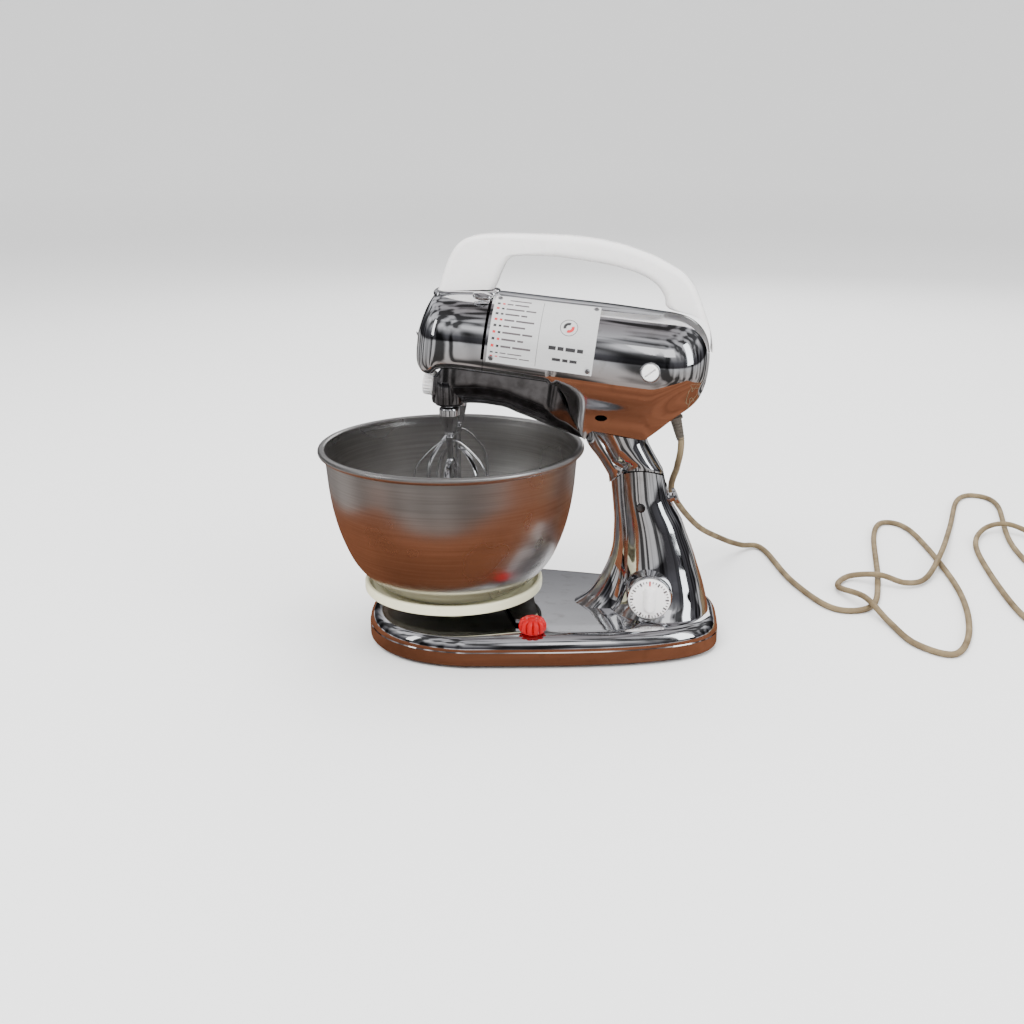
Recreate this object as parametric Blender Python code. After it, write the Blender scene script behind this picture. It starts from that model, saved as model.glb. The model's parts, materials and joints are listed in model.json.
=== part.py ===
"""Stand mixer with a tilting head, a turning bowl and two beaters, as an assembly of separate pieces.

The design is written in millimetres about the mixer's centre line and scaled to metres when each
mesh is made. x runs from the nose to the rear, y to the far side and z up; x = 0 is the bowl's axis
and z = 0 is the table. The head has its own axes: u along the motor shaft to the rear, v to the far
side and w up, with the origin on the shaft at the joint between the nose cap and the rear housing.
"""
import math

import bmesh
import bpy
from mathutils import Vector

MM = 0.001

# ---- whole object ----
FRAME_X = -62.13           # with FRAME_Y, moves the middle of the stand and bowl to the origin
FRAME_Y = 9.49
BASE_NOSE_X = -77.0
BASE_WIDEST_X = 24.0
BASE_REAR_X = 241.0
BASE_HALF_WIDTH = 97.0
BASE_TAPER = 0.1125        # loss of half width for each millimetre behind the widest place
BASE_BOTTOM_Z = 3.0
BASE_SKIRT_TOP_Z = 16.0
BASE_TOP_Z = 30.0
BASE_SHOULDER = 14.0
CASTING_WALL = 3.6

# ---- head hinge and column ----
HINGE_X = 169.0
HINGE_Z = 127.0
COLUMN_TOP_RADIUS = 32.4
SADDLE_RADIUS = 33.1
TONGUE_HALF_WIDTH = 8.0
TONGUE_EYE_RADIUS = 13.0
TILT_LIMIT_DEG = 40.0

# ---- head ----
MOTOR_ANGLE = math.radians(7.0)
HEAD_ORIGIN_X = 35.75
HEAD_ORIGIN_Z = 268.3
SHELL_WALL = 2.2
HEAD_REAR_START_U = 144.0
HEAD_REAR_LENGTH = 44.0
SPINDLE_X = 1.5
SPINDLE_Y = 21.0
SEAM_GAP = 0.4

# ---- bowl, turntable and beaters ----
BOWL_WALL = 1.2
TURNTABLE_RADIUS = 80.8
TURNTABLE_BOTTOM_Z = 46.0
ARM_BOTTOM_Z = 33.0
ARM_TOP_Z = 36.5
ARM_PIVOT_X = 60.0
ARM_LENGTH = 60.0            # from its pivot to the turntable's axis
SHIFT_REST_DEG = 9.1         # at rest the bowl stands towards the near side
TABLE_X = ARM_PIVOT_X - ARM_LENGTH * math.cos(math.radians(SHIFT_REST_DEG))
TABLE_Y = -ARM_LENGTH * math.sin(math.radians(SHIFT_REST_DEG))
KNOB_X = 80.0
KNOB_Y = -80.0

# ---- controls ----
DIAL_X = 179.0
DIAL_Z = 52.0
DIAL_RADIUS = 18.4
BRUSH_U = 138.7
SPEED_REST_DEG = 33.0      # from straight up, towards the near side
SPEED_TRAVEL_DEG = 62.0
DIAL_FACE_Y = -44.0
CAP_W = -44.5                # height of the front cap's axis on the head's w axis
LATCH_X = 195.0
LATCH_Z = 131.0
LATCH_AXIS = (0.916, 0.0, 0.401)

# ---- mains lead ----
CORD_RADIUS = 2.9


# ---------------------------------------------------------------- scene and materials
def clear_scene():
    for old in list(bpy.data.objects):
        bpy.data.objects.remove(old, do_unlink=True)


def make_material(name, colour, roughness, metallic):
    material = bpy.data.materials.new(name)
    material.use_nodes = True
    shader = material.node_tree.nodes["Principled BSDF"]
    shader.inputs["Base Color"].default_value = (*colour, 1.0)
    shader.inputs["Roughness"].default_value = roughness
    shader.inputs["Metallic"].default_value = metallic
    return material


def make_materials():
    return {
        "chrome": make_material("chrome", (0.78, 0.78, 0.79), 0.06, 1.0),
        "stainless": make_material("stainless", (0.62, 0.61, 0.60), 0.28, 1.0),
        "dark_enamel": make_material("dark_enamel", (0.035, 0.035, 0.038), 0.15, 0.3),
        "steel": make_material("steel", (0.45, 0.45, 0.46), 0.35, 1.0),
        "copper": make_material("copper", (0.62, 0.28, 0.14), 0.4, 1.0),
        "bronze": make_material("bronze", (0.55, 0.40, 0.20), 0.4, 1.0),
        "carbon": make_material("carbon", (0.05, 0.05, 0.05), 0.7, 0.0),
        "white_plastic": make_material("white_plastic", (0.86, 0.85, 0.84), 0.3, 0.0),
        "ivory_plastic": make_material("ivory_plastic", (0.80, 0.78, 0.58), 0.35, 0.0),
        "red_plastic": make_material("red_plastic", (0.75, 0.02, 0.03), 0.25, 0.0),
        "aluminium": make_material("aluminium", (0.72, 0.72, 0.71), 0.4, 1.0),
        "rubber": make_material("rubber", (0.10, 0.08, 0.06), 0.8, 0.0),
        "khaki_rubber": make_material("khaki_rubber", (0.42, 0.36, 0.24), 0.7, 0.0),
    }


class Group:
    """An empty on a joint's axis that carries the pieces of one moving body."""

    def __init__(self, name, origin, parent=None):
        self.origin = Vector(origin)
        self.empty = bpy.data.objects.new(name, None)
        bpy.context.collection.objects.link(self.empty)
        base = parent.origin if parent else Vector((0.0, 0.0, 0.0))
        offset = self.origin - base
        if parent:
            self.empty.parent = parent.empty
        else:
            offset = offset + Vector((FRAME_X, FRAME_Y, 0.0))
        self.empty.location = offset * MM


def make_object(name, verts, faces, material, group, smooth=True):
    """One piece from millimetre points, with its origin on its group's axis."""
    mesh = bpy.data.meshes.new(name)
    mesh.from_pydata([(Vector(v) - group.origin) * MM for v in verts], [], faces)
    mesh.materials.append(material)
    bm = bmesh.new()
    bm.from_mesh(mesh)
    bmesh.ops.remove_doubles(bm, verts=bm.verts, dist=1e-6)
    bmesh.ops.dissolve_degenerate(bm, edges=bm.edges, dist=1e-7)
    bmesh.ops.recalc_face_normals(bm, faces=bm.faces)
    bm.to_mesh(mesh)
    bm.free()
    if smooth:
        mesh.shade_smooth()
        mesh.set_sharp_from_angle(angle=math.radians(35))
    obj = bpy.data.objects.new(name, mesh)
    bpy.context.collection.objects.link(obj)
    obj.parent = group.empty
    return obj


def boolean(target, tool, operation):
    """Adds or cuts a tool solid; the tool stays in the file as a hidden wire guide."""
    tool.name = "guide_" + tool.name
    tool.hide_render = True
    tool.display_type = "WIRE"
    modifier = target.modifiers.new(tool.name, "BOOLEAN")
    modifier.operation = operation
    modifier.object = tool


# ---------------------------------------------------------------- shape helpers
def curve_value(x, knots):
    """Smooth height of a curve through (x, y) knots, flat beyond its ends and free of overshoot."""
    if x <= knots[0][0]:
        return knots[0][1]
    if x >= knots[-1][0]:
        return knots[-1][1]
    count = len(knots)
    slopes = [(knots[i + 1][1] - knots[i][1]) / (knots[i + 1][0] - knots[i][0]) for i in range(count - 1)]
    tangents = [slopes[0]]
    for before, after in zip(slopes, slopes[1:]):
        same_way = before * after > 0
        tangents.append(2 * before * after / (before + after) if same_way else 0.0)
    tangents.append(slopes[-1])
    i = max(k for k in range(count - 1) if knots[k][0] <= x)
    span = knots[i + 1][0] - knots[i][0]
    t = (x - knots[i][0]) / span
    rise = knots[i + 1][1] - knots[i][1]
    start, finish = tangents[i] * span, tangents[i + 1] * span
    return (knots[i][1] + start * t + (3 * rise - 2 * start - finish) * t ** 2
            + (start + finish - 2 * rise) * t ** 3)


def bezier(p0, p1, p2, p3, t):
    s = 1 - t
    return tuple(s ** 3 * a + 3 * s * s * t * b + 3 * s * t * t * c + t ** 3 * d
                 for a, b, c, d in zip(p0, p1, p2, p3))


def loft(rings, caps=(True, True)):
    """Skin over rings of equal length; a cap is one face over the end ring."""
    size = len(rings[0])
    verts = [p for ring in rings for p in ring]
    faces = []
    for k in range(len(rings) - 1):
        for i in range(size):
            j = (i + 1) % size
            faces.append((k * size + i, k * size + j, (k + 1) * size + j, (k + 1) * size + i))
    if caps[0]:
        faces.append(tuple(range(size)))
    if caps[1]:
        faces.append(tuple((len(rings) - 1) * size + i for i in range(size)))
    return verts, faces


def turned(profile, steps, closed=False):
    """Solid of revolution about +z from (radius, height) points; closed joins the last to the first."""
    verts, index = [], []
    for radius, height in profile:
        if radius < 1e-6:
            index.append([len(verts)] * steps)
            verts.append((0.0, 0.0, height))
            continue
        index.append([len(verts) + k for k in range(steps)])
        for k in range(steps):
            angle = 2 * math.pi * k / steps
            verts.append((radius * math.cos(angle), radius * math.sin(angle), height))
    faces = []
    pairs = list(zip(index, index[1:]))
    if closed:
        pairs.append((index[-1], index[0]))
    for lower, upper in pairs:
        for k in range(steps):
            j = (k + 1) % steps
            corners = [lower[k], lower[j], upper[j], upper[k]]
            face = [c for n, c in enumerate(corners) if c not in corners[:n]]
            if len(face) > 2:
                faces.append(tuple(face))
    return verts, faces


def placed(shape, origin, axis=(0.0, 0.0, 1.0), spin=0.0):
    """The shape turned by spin about +z, then with +z laid along an axis, then moved to its origin."""
    verts, faces = shape
    turn = Vector((0.0, 0.0, 1.0)).rotation_difference(Vector(axis).normalized()).to_matrix()
    cos_spin, sin_spin = math.cos(spin), math.sin(spin)
    spun = [(x * cos_spin - y * sin_spin, x * sin_spin + y * cos_spin, z) for x, y, z in verts]
    return [tuple(turn @ Vector(p) + Vector(origin)) for p in spun], faces


def joined(*shapes):
    verts, faces = [], []
    for part_verts, part_faces in shapes:
        start = len(verts)
        verts.extend(part_verts)
        faces.extend(tuple(start + i for i in face) for face in part_faces)
    return verts, faces


def prism(outline, low, high, lift):
    """A flat outline pushed from low to high; lift(point, height) gives each corner's place."""
    return loft([[lift(p, low) for p in outline], [lift(p, high) for p in outline]])


def box(low, high):
    xs, ys, zs = zip(low, high)
    verts = [(x, y, z) for x in xs for y in ys for z in zs]
    faces = [(0, 1, 3, 2), (4, 6, 7, 5), (0, 4, 5, 1), (2, 3, 7, 6), (0, 2, 6, 4), (1, 5, 7, 3)]
    return verts, faces


def thickened(verts, faces, wall):
    """A closed shell: the given outer skin, a copy set in by the wall, and the edges between them."""
    mesh = bpy.data.meshes.new("skin")
    mesh.from_pydata(verts, [], faces)
    bm = bmesh.new()
    bm.from_mesh(mesh)
    bmesh.ops.remove_doubles(bm, verts=bm.verts, dist=1e-4)
    bmesh.ops.recalc_face_normals(bm, faces=bm.faces)
    bm.normal_update()
    centre = sum((v.co for v in bm.verts), Vector()) / len(bm.verts)
    crown = max(bm.verts, key=lambda v: (v.co - centre).length)
    sign = 1.0 if crown.normal.dot(crown.co - centre) > 0 else -1.0
    bm.verts.index_update()
    count = len(bm.verts)
    outer = [v.co.copy() for v in bm.verts]
    inner = [v.co - v.normal * wall * sign for v in bm.verts]
    skin = [[v.index for v in f.verts] for f in bm.faces]
    rims = [tuple(v.index for v in e.verts) for e in bm.edges if e.is_boundary]
    bm.free()
    bpy.data.meshes.remove(mesh)
    closed = [tuple(f) for f in skin] + [tuple(count + i for i in reversed(f)) for f in skin]
    closed += [(a, b, count + b, count + a) for a, b in rims]
    return [tuple(p) for p in outer + inner], closed


# ---------------------------------------------------------------- stand
def base_outline(inset, per_quarter=7):
    """Plan of the base: a full round front, straight sides that draw in and a squarer rear."""
    front_power, rear_power = 2.3, 3.5
    front_length = BASE_WIDEST_X - BASE_NOSE_X
    rear_length = BASE_REAR_X - BASE_WIDEST_X
    points = []
    for k in range(per_quarter):
        t = math.pi / 2 * k / per_quarter
        x = BASE_WIDEST_X - front_length * math.cos(t) ** (2 / front_power)
        points.append((x, BASE_HALF_WIDTH * math.sin(t) ** (2 / front_power)))
    for k in range(per_quarter + 1):
        t = math.pi / 2 * k / per_quarter
        reach = math.sin(t) ** (2 / rear_power)
        width = (BASE_HALF_WIDTH - BASE_TAPER * rear_length * reach) * max(math.cos(t), 0.0) ** (2 / rear_power)
        points.append((BASE_WIDEST_X + rear_length * reach, width))
    ring = points + [(x, -y) for x, y in reversed(points[1:-1])]
    inset_ring = []
    for i, (x, y) in enumerate(ring):
        before, after = ring[i - 1], ring[(i + 1) % len(ring)]
        along = Vector((after[0] - before[0], after[1] - before[1])).normalized()
        inset_ring.append((x + along.y * inset, y - along.x * inset))
    return inset_ring


def base_levels(inset, bottom, drop):
    """Rings from the skirt's foot over the round shoulder to the flat top."""
    rings = [[(x, y, bottom) for x, y in base_outline(inset)]]
    steps = 4
    height = BASE_TOP_Z - BASE_SKIRT_TOP_Z
    for k in range(steps + 1):
        angle = math.pi / 2 * k / steps
        step_in = inset + BASE_SHOULDER * (1 - math.cos(angle))
        level = BASE_SKIRT_TOP_Z + height * math.sin(angle) - drop
        rings.append([(x, y, level) for x, y in base_outline(step_in)])
    return rings


COLUMN_FRONT = [(26, 104), (30, 111), (40, 124), (55, 134), (74, 142), (89, 145), (108, 145.5), (132, 143.5),
                (145, 142)]
COLUMN_REAR = [(26, 233), (39, 230), (54, 226), (69, 221), (84, 216), (99, 210), (110, 206), (124, 198),
               (140, 191), (153, 186)]
COLUMN_HALF_WIDTH = [(26, 48), (30, 46), (40, 40), (55, 35), (75, 30), (110, 25), (145, 21), (165, 20)]
COLUMN_RIB = [(26, 20), (40, 15), (70, 12), (145, 12)]
COLUMN_GROOVE = [(26, 142), (30, 146), (40, 153), (60, 158), (96, 158), (117, 156), (134, 154), (150, 152)]


def column_section(front, groove, rear, half_width, rib_half_width):
    """Half outline of the column: a round rib in front, a groove, then the broad oval body."""
    body_front = groove - 3.0
    middle, reach = (body_front + rear) / 2, (rear - body_front) / 2
    points = []
    for k in range(4):
        t = math.pi / 2 * k / 3
        points.append((front + (groove - front) * 0.75 * (1 - math.cos(t)), rib_half_width * math.sin(t)))
    points.append((groove, rib_half_width * 0.92))
    start = math.acos((middle - groove - 0.8) / reach)
    for k in range(8):
        t = start + (math.pi - start) * k / 7
        points.append((middle - reach * math.cos(t), half_width * math.sin(t) ** 0.8 if k < 7 else 0.0))
    return points


def mirrored_ring(half, lift):
    """Closed ring from a half outline that starts and ends on the centre line."""
    ring = [lift(x, y) for x, y in half]
    ring += [lift(x, -y) for x, y in reversed(half[1:-1])]
    return ring


def column_ring(level, top=False):
    half = column_section(curve_value(level, COLUMN_FRONT), curve_value(level, COLUMN_GROOVE),
                          curve_value(level, COLUMN_REAR), curve_value(level, COLUMN_HALF_WIDTH),
                          curve_value(level, COLUMN_RIB))

    def lift(x, y):
        if not top:
            return (x, y, level)
        reach = max(COLUMN_TOP_RADIUS ** 2 - (x - HINGE_X) ** 2, 0.0)
        return (x, y, HINGE_Z + math.sqrt(reach))
    return mirrored_ring(half, lift)


def column_hollow_ring(level):
    """Plain oval inside the column's broad body."""
    front = curve_value(level, COLUMN_GROOVE) + 3.0
    rear = curve_value(level, COLUMN_REAR) - CASTING_WALL - 1.4
    half_width = curve_value(level, COLUMN_HALF_WIDTH) - CASTING_WALL - 1.4
    middle, reach = (front + rear) / 2, (rear - front) / 2
    ring = []
    for k in range(20):
        t = 2 * math.pi * k / 20
        ring.append((middle + reach * math.cos(t), half_width * math.sin(t), level))
    return ring


def strip_cap(ring_start, size):
    """Cap over a ring that mirrors about the centre line, as strips across it."""
    half = size // 2
    faces = [(ring_start, ring_start + 1, ring_start + size - 1)]
    for i in range(1, half - 1):
        faces.append((ring_start + i, ring_start + i + 1, ring_start + size - i - 1, ring_start + size - i))
    faces.append((ring_start + half - 1, ring_start + half, ring_start + half + 1))
    return faces


def pin_bore(radius, length, origin, axis, steps=16):
    return placed(turned([(0, 0), (radius, 0), (radius, length), (0, length)], steps), origin, axis)


def build_stand(mats, stand):
    verts, faces = loft(base_levels(0.0, BASE_BOTTOM_Z, 0.0))
    casting = make_object("stand_casting", verts, faces, mats["chrome"], stand)

    levels = [26, 31, 38, 50, 68, 92, 118]
    rings = [column_ring(z) for z in levels]
    rings.append(column_ring(145.0, top=True))
    verts, faces = loft(rings, caps=(True, False))
    faces += strip_cap((len(rings) - 1) * len(rings[0]), len(rings[0]))
    boolean(casting, make_object("column", verts, faces, mats["chrome"], stand), "UNION")

    verts, faces = loft(base_levels(CASTING_WALL, 0.0, CASTING_WALL))
    boolean(casting, make_object("base_hollow", verts, faces, mats["chrome"], stand), "DIFFERENCE")
    verts, faces = loft([column_hollow_ring(z) for z in (20, 30, 42, 60, 80, 96)])
    boolean(casting, make_object("column_hollow", verts, faces, mats["chrome"], stand), "DIFFERENCE")

    first = 114.0
    last = 114.0 - 36.0 - TILT_LIMIT_DEG - 2.0
    outline = hinge_arc(TONGUE_EYE_RADIUS + 1.0, first, last + 360.0, 12)
    outline += hinge_arc(46.0, last, first, 3)
    width = TONGUE_HALF_WIDTH + 1.0
    verts, faces = prism(outline, -width, width, lambda p, y: (p[0], y, p[1]))
    boolean(casting, make_object("tongue_slot", verts, faces, mats["chrome"], stand), "DIFFERENCE")

    boss = placed(turned([(0, 0), (DIAL_RADIUS + 3.0, 0), (DIAL_RADIUS + 1.6, 21), (DIAL_RADIUS + 0.6, 22),
                          (0, 22)], 36), (DIAL_X, DIAL_FACE_Y + 22.0, DIAL_Z), (0, -1, 0))
    boolean(casting, make_object("dial_boss", *boss, mats["chrome"], stand), "UNION")
    latch = Vector((LATCH_X, 0.0, LATCH_Z))
    latch_bore = placed(turned([(0, -16), (4.6, -16), (4.6, -1.5), (8.6, -1.5), (8.6, 14), (0, 14)], 18),
                        latch, LATCH_AXIS)
    timer_bore = placed(turned([(0, 8), (13.4, 8), (13.4, 24), (4.5, 24), (4.5, 54), (0, 54)], 24),
                        (DIAL_X, 0.0, DIAL_Z), (0, -1, 0))
    bores = joined(latch_bore, timer_bore, pin_bore(4.1, 60.0, (HINGE_X, -30.0, HINGE_Z), (0, 1, 0)),
                   pin_bore(3.6, 20.0, (ARM_PIVOT_X, 0.0, 20.0), (0, 0, 1)))
    boolean(casting, make_object("bores", *bores, mats["chrome"], stand), "DIFFERENCE")

    outline = base_outline(CASTING_WALL + 0.4)
    verts, faces = prism(outline, 4.2, 5.8, lambda p, z: (p[0], p[1], z))
    make_object("base_plate", verts, faces, mats["steel"], stand)
    for name, x, y in (("foot_front_near", -38, -62), ("foot_front_far", -38, 62),
                       ("foot_rear_near", 205, -42), ("foot_rear_far", 205, 42)):
        shape = placed(turned([(0, 0), (7.5, 0), (8.5, 3.9), (0, 3.9)], 16), (x, y, 0.0))
        make_object(name, *shape, mats["rubber"], stand)

    pin = turned([(0, 0), (3.4, 0), (3.7, 0.6), (3.7, 43.4), (3.4, 44), (0, 44)], 16)
    make_object("hinge_pin", *placed(pin, (HINGE_X, -22.0, HINGE_Z), (0, 1, 0)), mats["dark_enamel"], stand)

    can = placed(turned([(0, 9), (13, 9), (13, 23.4), (3.0, 23.4), (3.0, 36), (0, 36)], 24),
                 (DIAL_X, 0.0, DIAL_Z), (0, -1, 0))
    make_object("timer_body", *can, mats["steel"], stand)


def hinge_arc(radius, start_deg, finish_deg, steps):
    """Points on an arc about the hinge, in the upright plane through the centre line."""
    points = []
    for k in range(steps + 1):
        angle = math.radians(start_deg + (finish_deg - start_deg) * k / steps)
        points.append((HINGE_X + radius * math.cos(angle), HINGE_Z + radius * math.sin(angle)))
    return points


def build_timer_dial(mats, group):
    disc = [(0, 0), (DIAL_RADIUS - 1.5, 0), (DIAL_RADIUS, 1.2), (DIAL_RADIUS, 3.2), (DIAL_RADIUS - 1.2, 4.4),
            (0, 4.4)]
    dial = make_object("timer_dial", *placed(turned(disc, 32), (DIAL_X, DIAL_FACE_Y - 0.4, DIAL_Z), (0, -1, 0)),
                       mats["white_plastic"], group)
    low, high = -DIAL_FACE_Y + 3.8, -DIAL_FACE_Y + 8.6
    sections = [(5.6, 12.0), (5.6, 12.0), (2.0, 11.0)]
    rings = []
    for (half_width, half_length), depth in zip(sections, (low, high - 2.0, high)):
        rings.append([(DIAL_X + half_width * i, -depth, DIAL_Z + half_length * j)
                      for i, j in ((-1, -0.8), (-0.6, -1), (0.6, -1), (1, -0.8), (1, 0.8), (0.6, 1), (-0.6, 1),
                                   (-1, 0.8))])
    boolean(dial, make_object("grip", *loft(rings), mats["white_plastic"], group), "UNION")


def build_latch(mats, group):
    shape = turned([(0, -9.0), (4.0, -9.0), (4.0, 3.4), (7.0, 3.6), (7.4, 4.4), (7.0, 6.0), (0, 6.8)], 20)
    make_object("latch_button", *placed(shape, (LATCH_X, 0.0, LATCH_Z), LATCH_AXIS), mats["chrome"], group)


# ---------------------------------------------------------------- bowl side
def build_shift_arm(mats, group):
    outline = []
    end_radius = 15.0
    for a in range(100, 261, 20):
        angle = math.radians(a + SHIFT_REST_DEG)
        outline.append((TABLE_X + end_radius * math.cos(angle), TABLE_Y + end_radius * math.sin(angle)))
    outline += [(ARM_PIVOT_X - 14, -12), (KNOB_X - 16, KNOB_Y + 13.5), (KNOB_X - 6, KNOB_Y + 12.6),
                (KNOB_X + 4, KNOB_Y + 13.5), (ARM_PIVOT_X + 13, -4), (ARM_PIVOT_X + 11, 8), (ARM_PIVOT_X, 12)]
    verts, faces = prism(outline, ARM_BOTTOM_Z, ARM_TOP_Z, lambda p, z: (p[0], p[1], z))
    arm = make_object("shift_arm", verts, faces, mats["chrome"], group)
    post = placed(turned([(0, 34), (4.0, 34), (4.0, 42.0), (3.4, 42.6), (0, 42.6)], 16), (TABLE_X, TABLE_Y, 0))
    boolean(arm, make_object("arm_post", *post, mats["steel"], group), "UNION")
    bore = placed(turned([(0, 0), (4.6, 0), (4.6, 20), (0, 20)], 16), (ARM_PIVOT_X, 0, 25))
    boolean(arm, make_object("arm_bore", *bore, mats["steel"], group), "DIFFERENCE")

    pad = turned([(0, 30.4), (12, 30.4), (12, 32.7), (0, 32.7)], 24)
    make_object("glide_pad", *placed(pad, (TABLE_X, TABLE_Y, 0)), mats["white_plastic"], group)
    washer = turned([(4.8, 30.3), (11, 30.3), (11, 32.6), (4.8, 32.6)], 24, closed=True)
    make_object("pivot_washer", *placed(washer, (ARM_PIVOT_X, 0, 0)), mats["steel"], group)

    flutes = 9
    rings = []
    for radius, depth, height in ((10.2, 0.0, 31.2), (11.9, 1.1, 32.4), (11.9, 1.1, 40.5), (10.4, 0.8, 43.0),
                                  (7.0, 0.2, 44.2)):
        ring = []
        for k in range(flutes * 4):
            angle = 2 * math.pi * k / (flutes * 4)
            r = radius - depth * 0.5 * (1 - math.cos(flutes * angle))
            ring.append((KNOB_X + r * math.cos(angle), KNOB_Y + r * math.sin(angle), height))
        rings.append(ring)
    make_object("shift_knob", *loft(rings), mats["red_plastic"], group)


def build_pivot_screw(mats, stand):
    shape = turned([(0, 18), (3.2, 18), (3.2, 31), (4.2, 33.2), (4.2, 37.0), (8.0, 37.2), (8.0, 39.2), (6.8, 40.2),
                    (0, 40.2)], 20)
    make_object("shift_pivot_screw", *placed(shape, (ARM_PIVOT_X, 0, 0)), mats["steel"], stand)


def build_turntable(mats, group):
    r = TURNTABLE_RADIUS
    washer = turned([(4.5, 36.8), (10.5, 36.8), (10.5, 38.0), (4.5, 38.0)], 24, closed=True)
    make_object("turntable_washer", *placed(washer, (TABLE_X, TABLE_Y, 0)), mats["steel"], group)
    profile = [(0, 43.6), (4.5, 43.6), (4.5, 38.3), (12, 38.3), (13, 43.6), (64, 44.2), (74, 46.6), (r - 2.2, 47.2),
               (r - 2.0, 46.0), (r, 46.0), (r, 53.8), (r - 1.0, 54.8), (r - 3.0, 54.6), (r - 6.0, 50.8),
               (67, 49.4), (64, 47.4), (0, 47.4)]
    make_object("turntable", *placed(turned(profile, 36), (TABLE_X, TABLE_Y, 0)), mats["ivory_plastic"], group)


BOWL_SIDE = [(0.0, 47.8), (54.0, 47.8), (59.0, 48.6), (66.0, 52.6), (73.0, 57.5), (78.5, 62.6), (85.5, 70.0),
             (92.5, 81.0), (100.2, 100.0), (105.6, 120.0), (108.8, 140.0), (110.4, 158.0), (111.6, 171.0)]


def build_bowl(mats, group):
    inner = [(max(x - BOWL_WALL * 0.9, 0.0), z + BOWL_WALL * 0.7) for x, z in reversed(BOWL_SIDE)]
    bead = []
    for k in range(7):
        angle = math.radians(-90 + 40 * k)
        bead.append((114.5 + 3.0 * math.cos(angle), 175.5 + 3.0 * math.sin(angle)))
    bowl = placed(turned(BOWL_SIDE + bead + inner, 36), (TABLE_X, TABLE_Y, 0))
    make_object("bowl", *bowl, mats["stainless"], group)


# ---------------------------------------------------------------- head
def head_point(u, v, w):
    cos_tilt, sin_tilt = math.cos(MOTOR_ANGLE), math.sin(MOTOR_ANGLE)
    return (HEAD_ORIGIN_X + u * cos_tilt + w * sin_tilt, v, HEAD_ORIGIN_Z - u * sin_tilt + w * cos_tilt)


SHAFT_AXIS = (math.cos(MOTOR_ANGLE), 0.0, -math.sin(MOTOR_ANGLE))
CORD_EXIT = head_point(166.0, 0.0, -41.0)

HEAD_TOP = [(-62.8, -4), (-62.2, 2), (-60.9, 9), (-59.0, 18), (-56.4, 26), (-51.4, 34.5), (-42, 38.2), (-25, 41),
            (0, 43), (54, 44), (105, 44.9), (144, 44.6)]
HEAD_SIDE = [(-62.8, 4), (-62.2, 13), (-60.9, 20), (-59.0, 26), (-56.4, 31), (-51.4, 36.5), (-42, 41.5), (-25, 45),
             (0, 46), (105, 47), (144, 46)]
NOSE_SILL = [(-62.8, -9), (-62.2, -15), (-60.9, -20), (-59.0, -24), (-56.4, -27), (-51.4, -30), (-46, -30.5),
             (-38, -24), (-25, -22), (0, -21.5)]
SKIRT_EDGE = [(0, -21.5), (58, -22), (64, -24), (70, -30), (74.2, -38), (77, -47), (84, -59.5), (91, -70),
              (92.6, -71.5), (95.5, -62.5), (100, -62.2), (144, -64.2)]
HEAD_BOTTOM = [(144, -64.4), (155, -53.2), (166.4, -41.0), (176, -32.5), (183, -24), (186.6, -15), (188, -9)]


def rear_fraction(u):
    """How far a station lies into the rounded rear end, and what is left of its width there."""
    reach = min(max((u - HEAD_REAR_START_U) / HEAD_REAR_LENGTH, 0.0), 0.9985)
    return (1 - reach ** 2.7) ** (1 / 2.7)


def head_half_section(u, upper=5, side=6, under=3):
    """Half outline of the head's skin from the crown to its lower edge, as (v, w) points."""
    left = rear_fraction(u)
    top = curve_value(u, HEAD_TOP) * left
    half = curve_value(u, HEAD_SIDE) * left
    points = []
    for k in range(upper):
        t = math.pi / 2 * k / upper
        points.append((half * math.sin(t) ** 0.94, top * math.cos(t) ** 0.94))
    knee_v, knee_w = 20.0 * left, curve_value(u, HEAD_BOTTOM) * (1.0 if u < HEAD_REAR_START_U else 0.985)
    if u >= HEAD_REAR_START_U:
        for k in range(side + 1):
            points.append(bezier((half, 0.0), (half, 0.42 * knee_w), (0.62 * half, 0.52 * knee_w),
                                 (knee_v, knee_w), k / side))
        bottom = curve_value(u, HEAD_BOTTOM)
        points += [(knee_v * (1 - k / under), bottom + (knee_w - bottom) * (1 - k / under))
                   for k in range(1, under + 1)]
        return points
    edge = curve_value(u, SKIRT_EDGE if u > 0 else NOSE_SILL)
    if u < 0:
        tuck = min(9.0, half * 0.25)
        for k in range(side + 1):
            points.append(bezier((half, 0.0), (half, 0.6 * edge), (half, edge), (half - tuck, edge), k / side))
        return points
    full = [bezier((half, 0.0), (half, -27.0), (0.62 * half, -33.5), (knee_v, -64.4), k / 24) for k in range(25)]
    full += [(knee_v - 0.4, -73.0)]
    tucked = [bezier((half, 0.0), (half, -13.0), (half, -21.5), (half - 9.0, -21.5), k / 24) for k in range(25)]
    blend = min(max((u - 54.0) / 12.0, 0.0), 1.0)
    blend = blend * blend * (3 - 2 * blend)
    skin = []
    for a, b in zip(full, tucked):
        skin.append((a[0] * blend + b[0] * (1 - blend), a[1] * blend + b[1] * (1 - blend)))
    skin.append((full[-1][0] * blend + tucked[-1][0] * (1 - blend), full[-1][1] * blend + tucked[-1][1] * (1 - blend)))
    stop = max(edge, skin[-1][1])
    last = next((k for k, p in enumerate(skin) if p[1] <= stop + 1e-6), len(skin) - 1)
    a, b = skin[last - 1], skin[last]
    share = (a[1] - stop) / (a[1] - b[1]) if a[1] != b[1] else 1.0
    position = last - 1 + share
    for k in range(side + 1):
        place = position * k / side
        i = min(int(place), len(skin) - 2)
        f = place - i
        points.append((skin[i][0] + (skin[i + 1][0] - skin[i][0]) * f,
                       skin[i][1] + (skin[i + 1][1] - skin[i][1]) * f))
    return points


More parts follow.
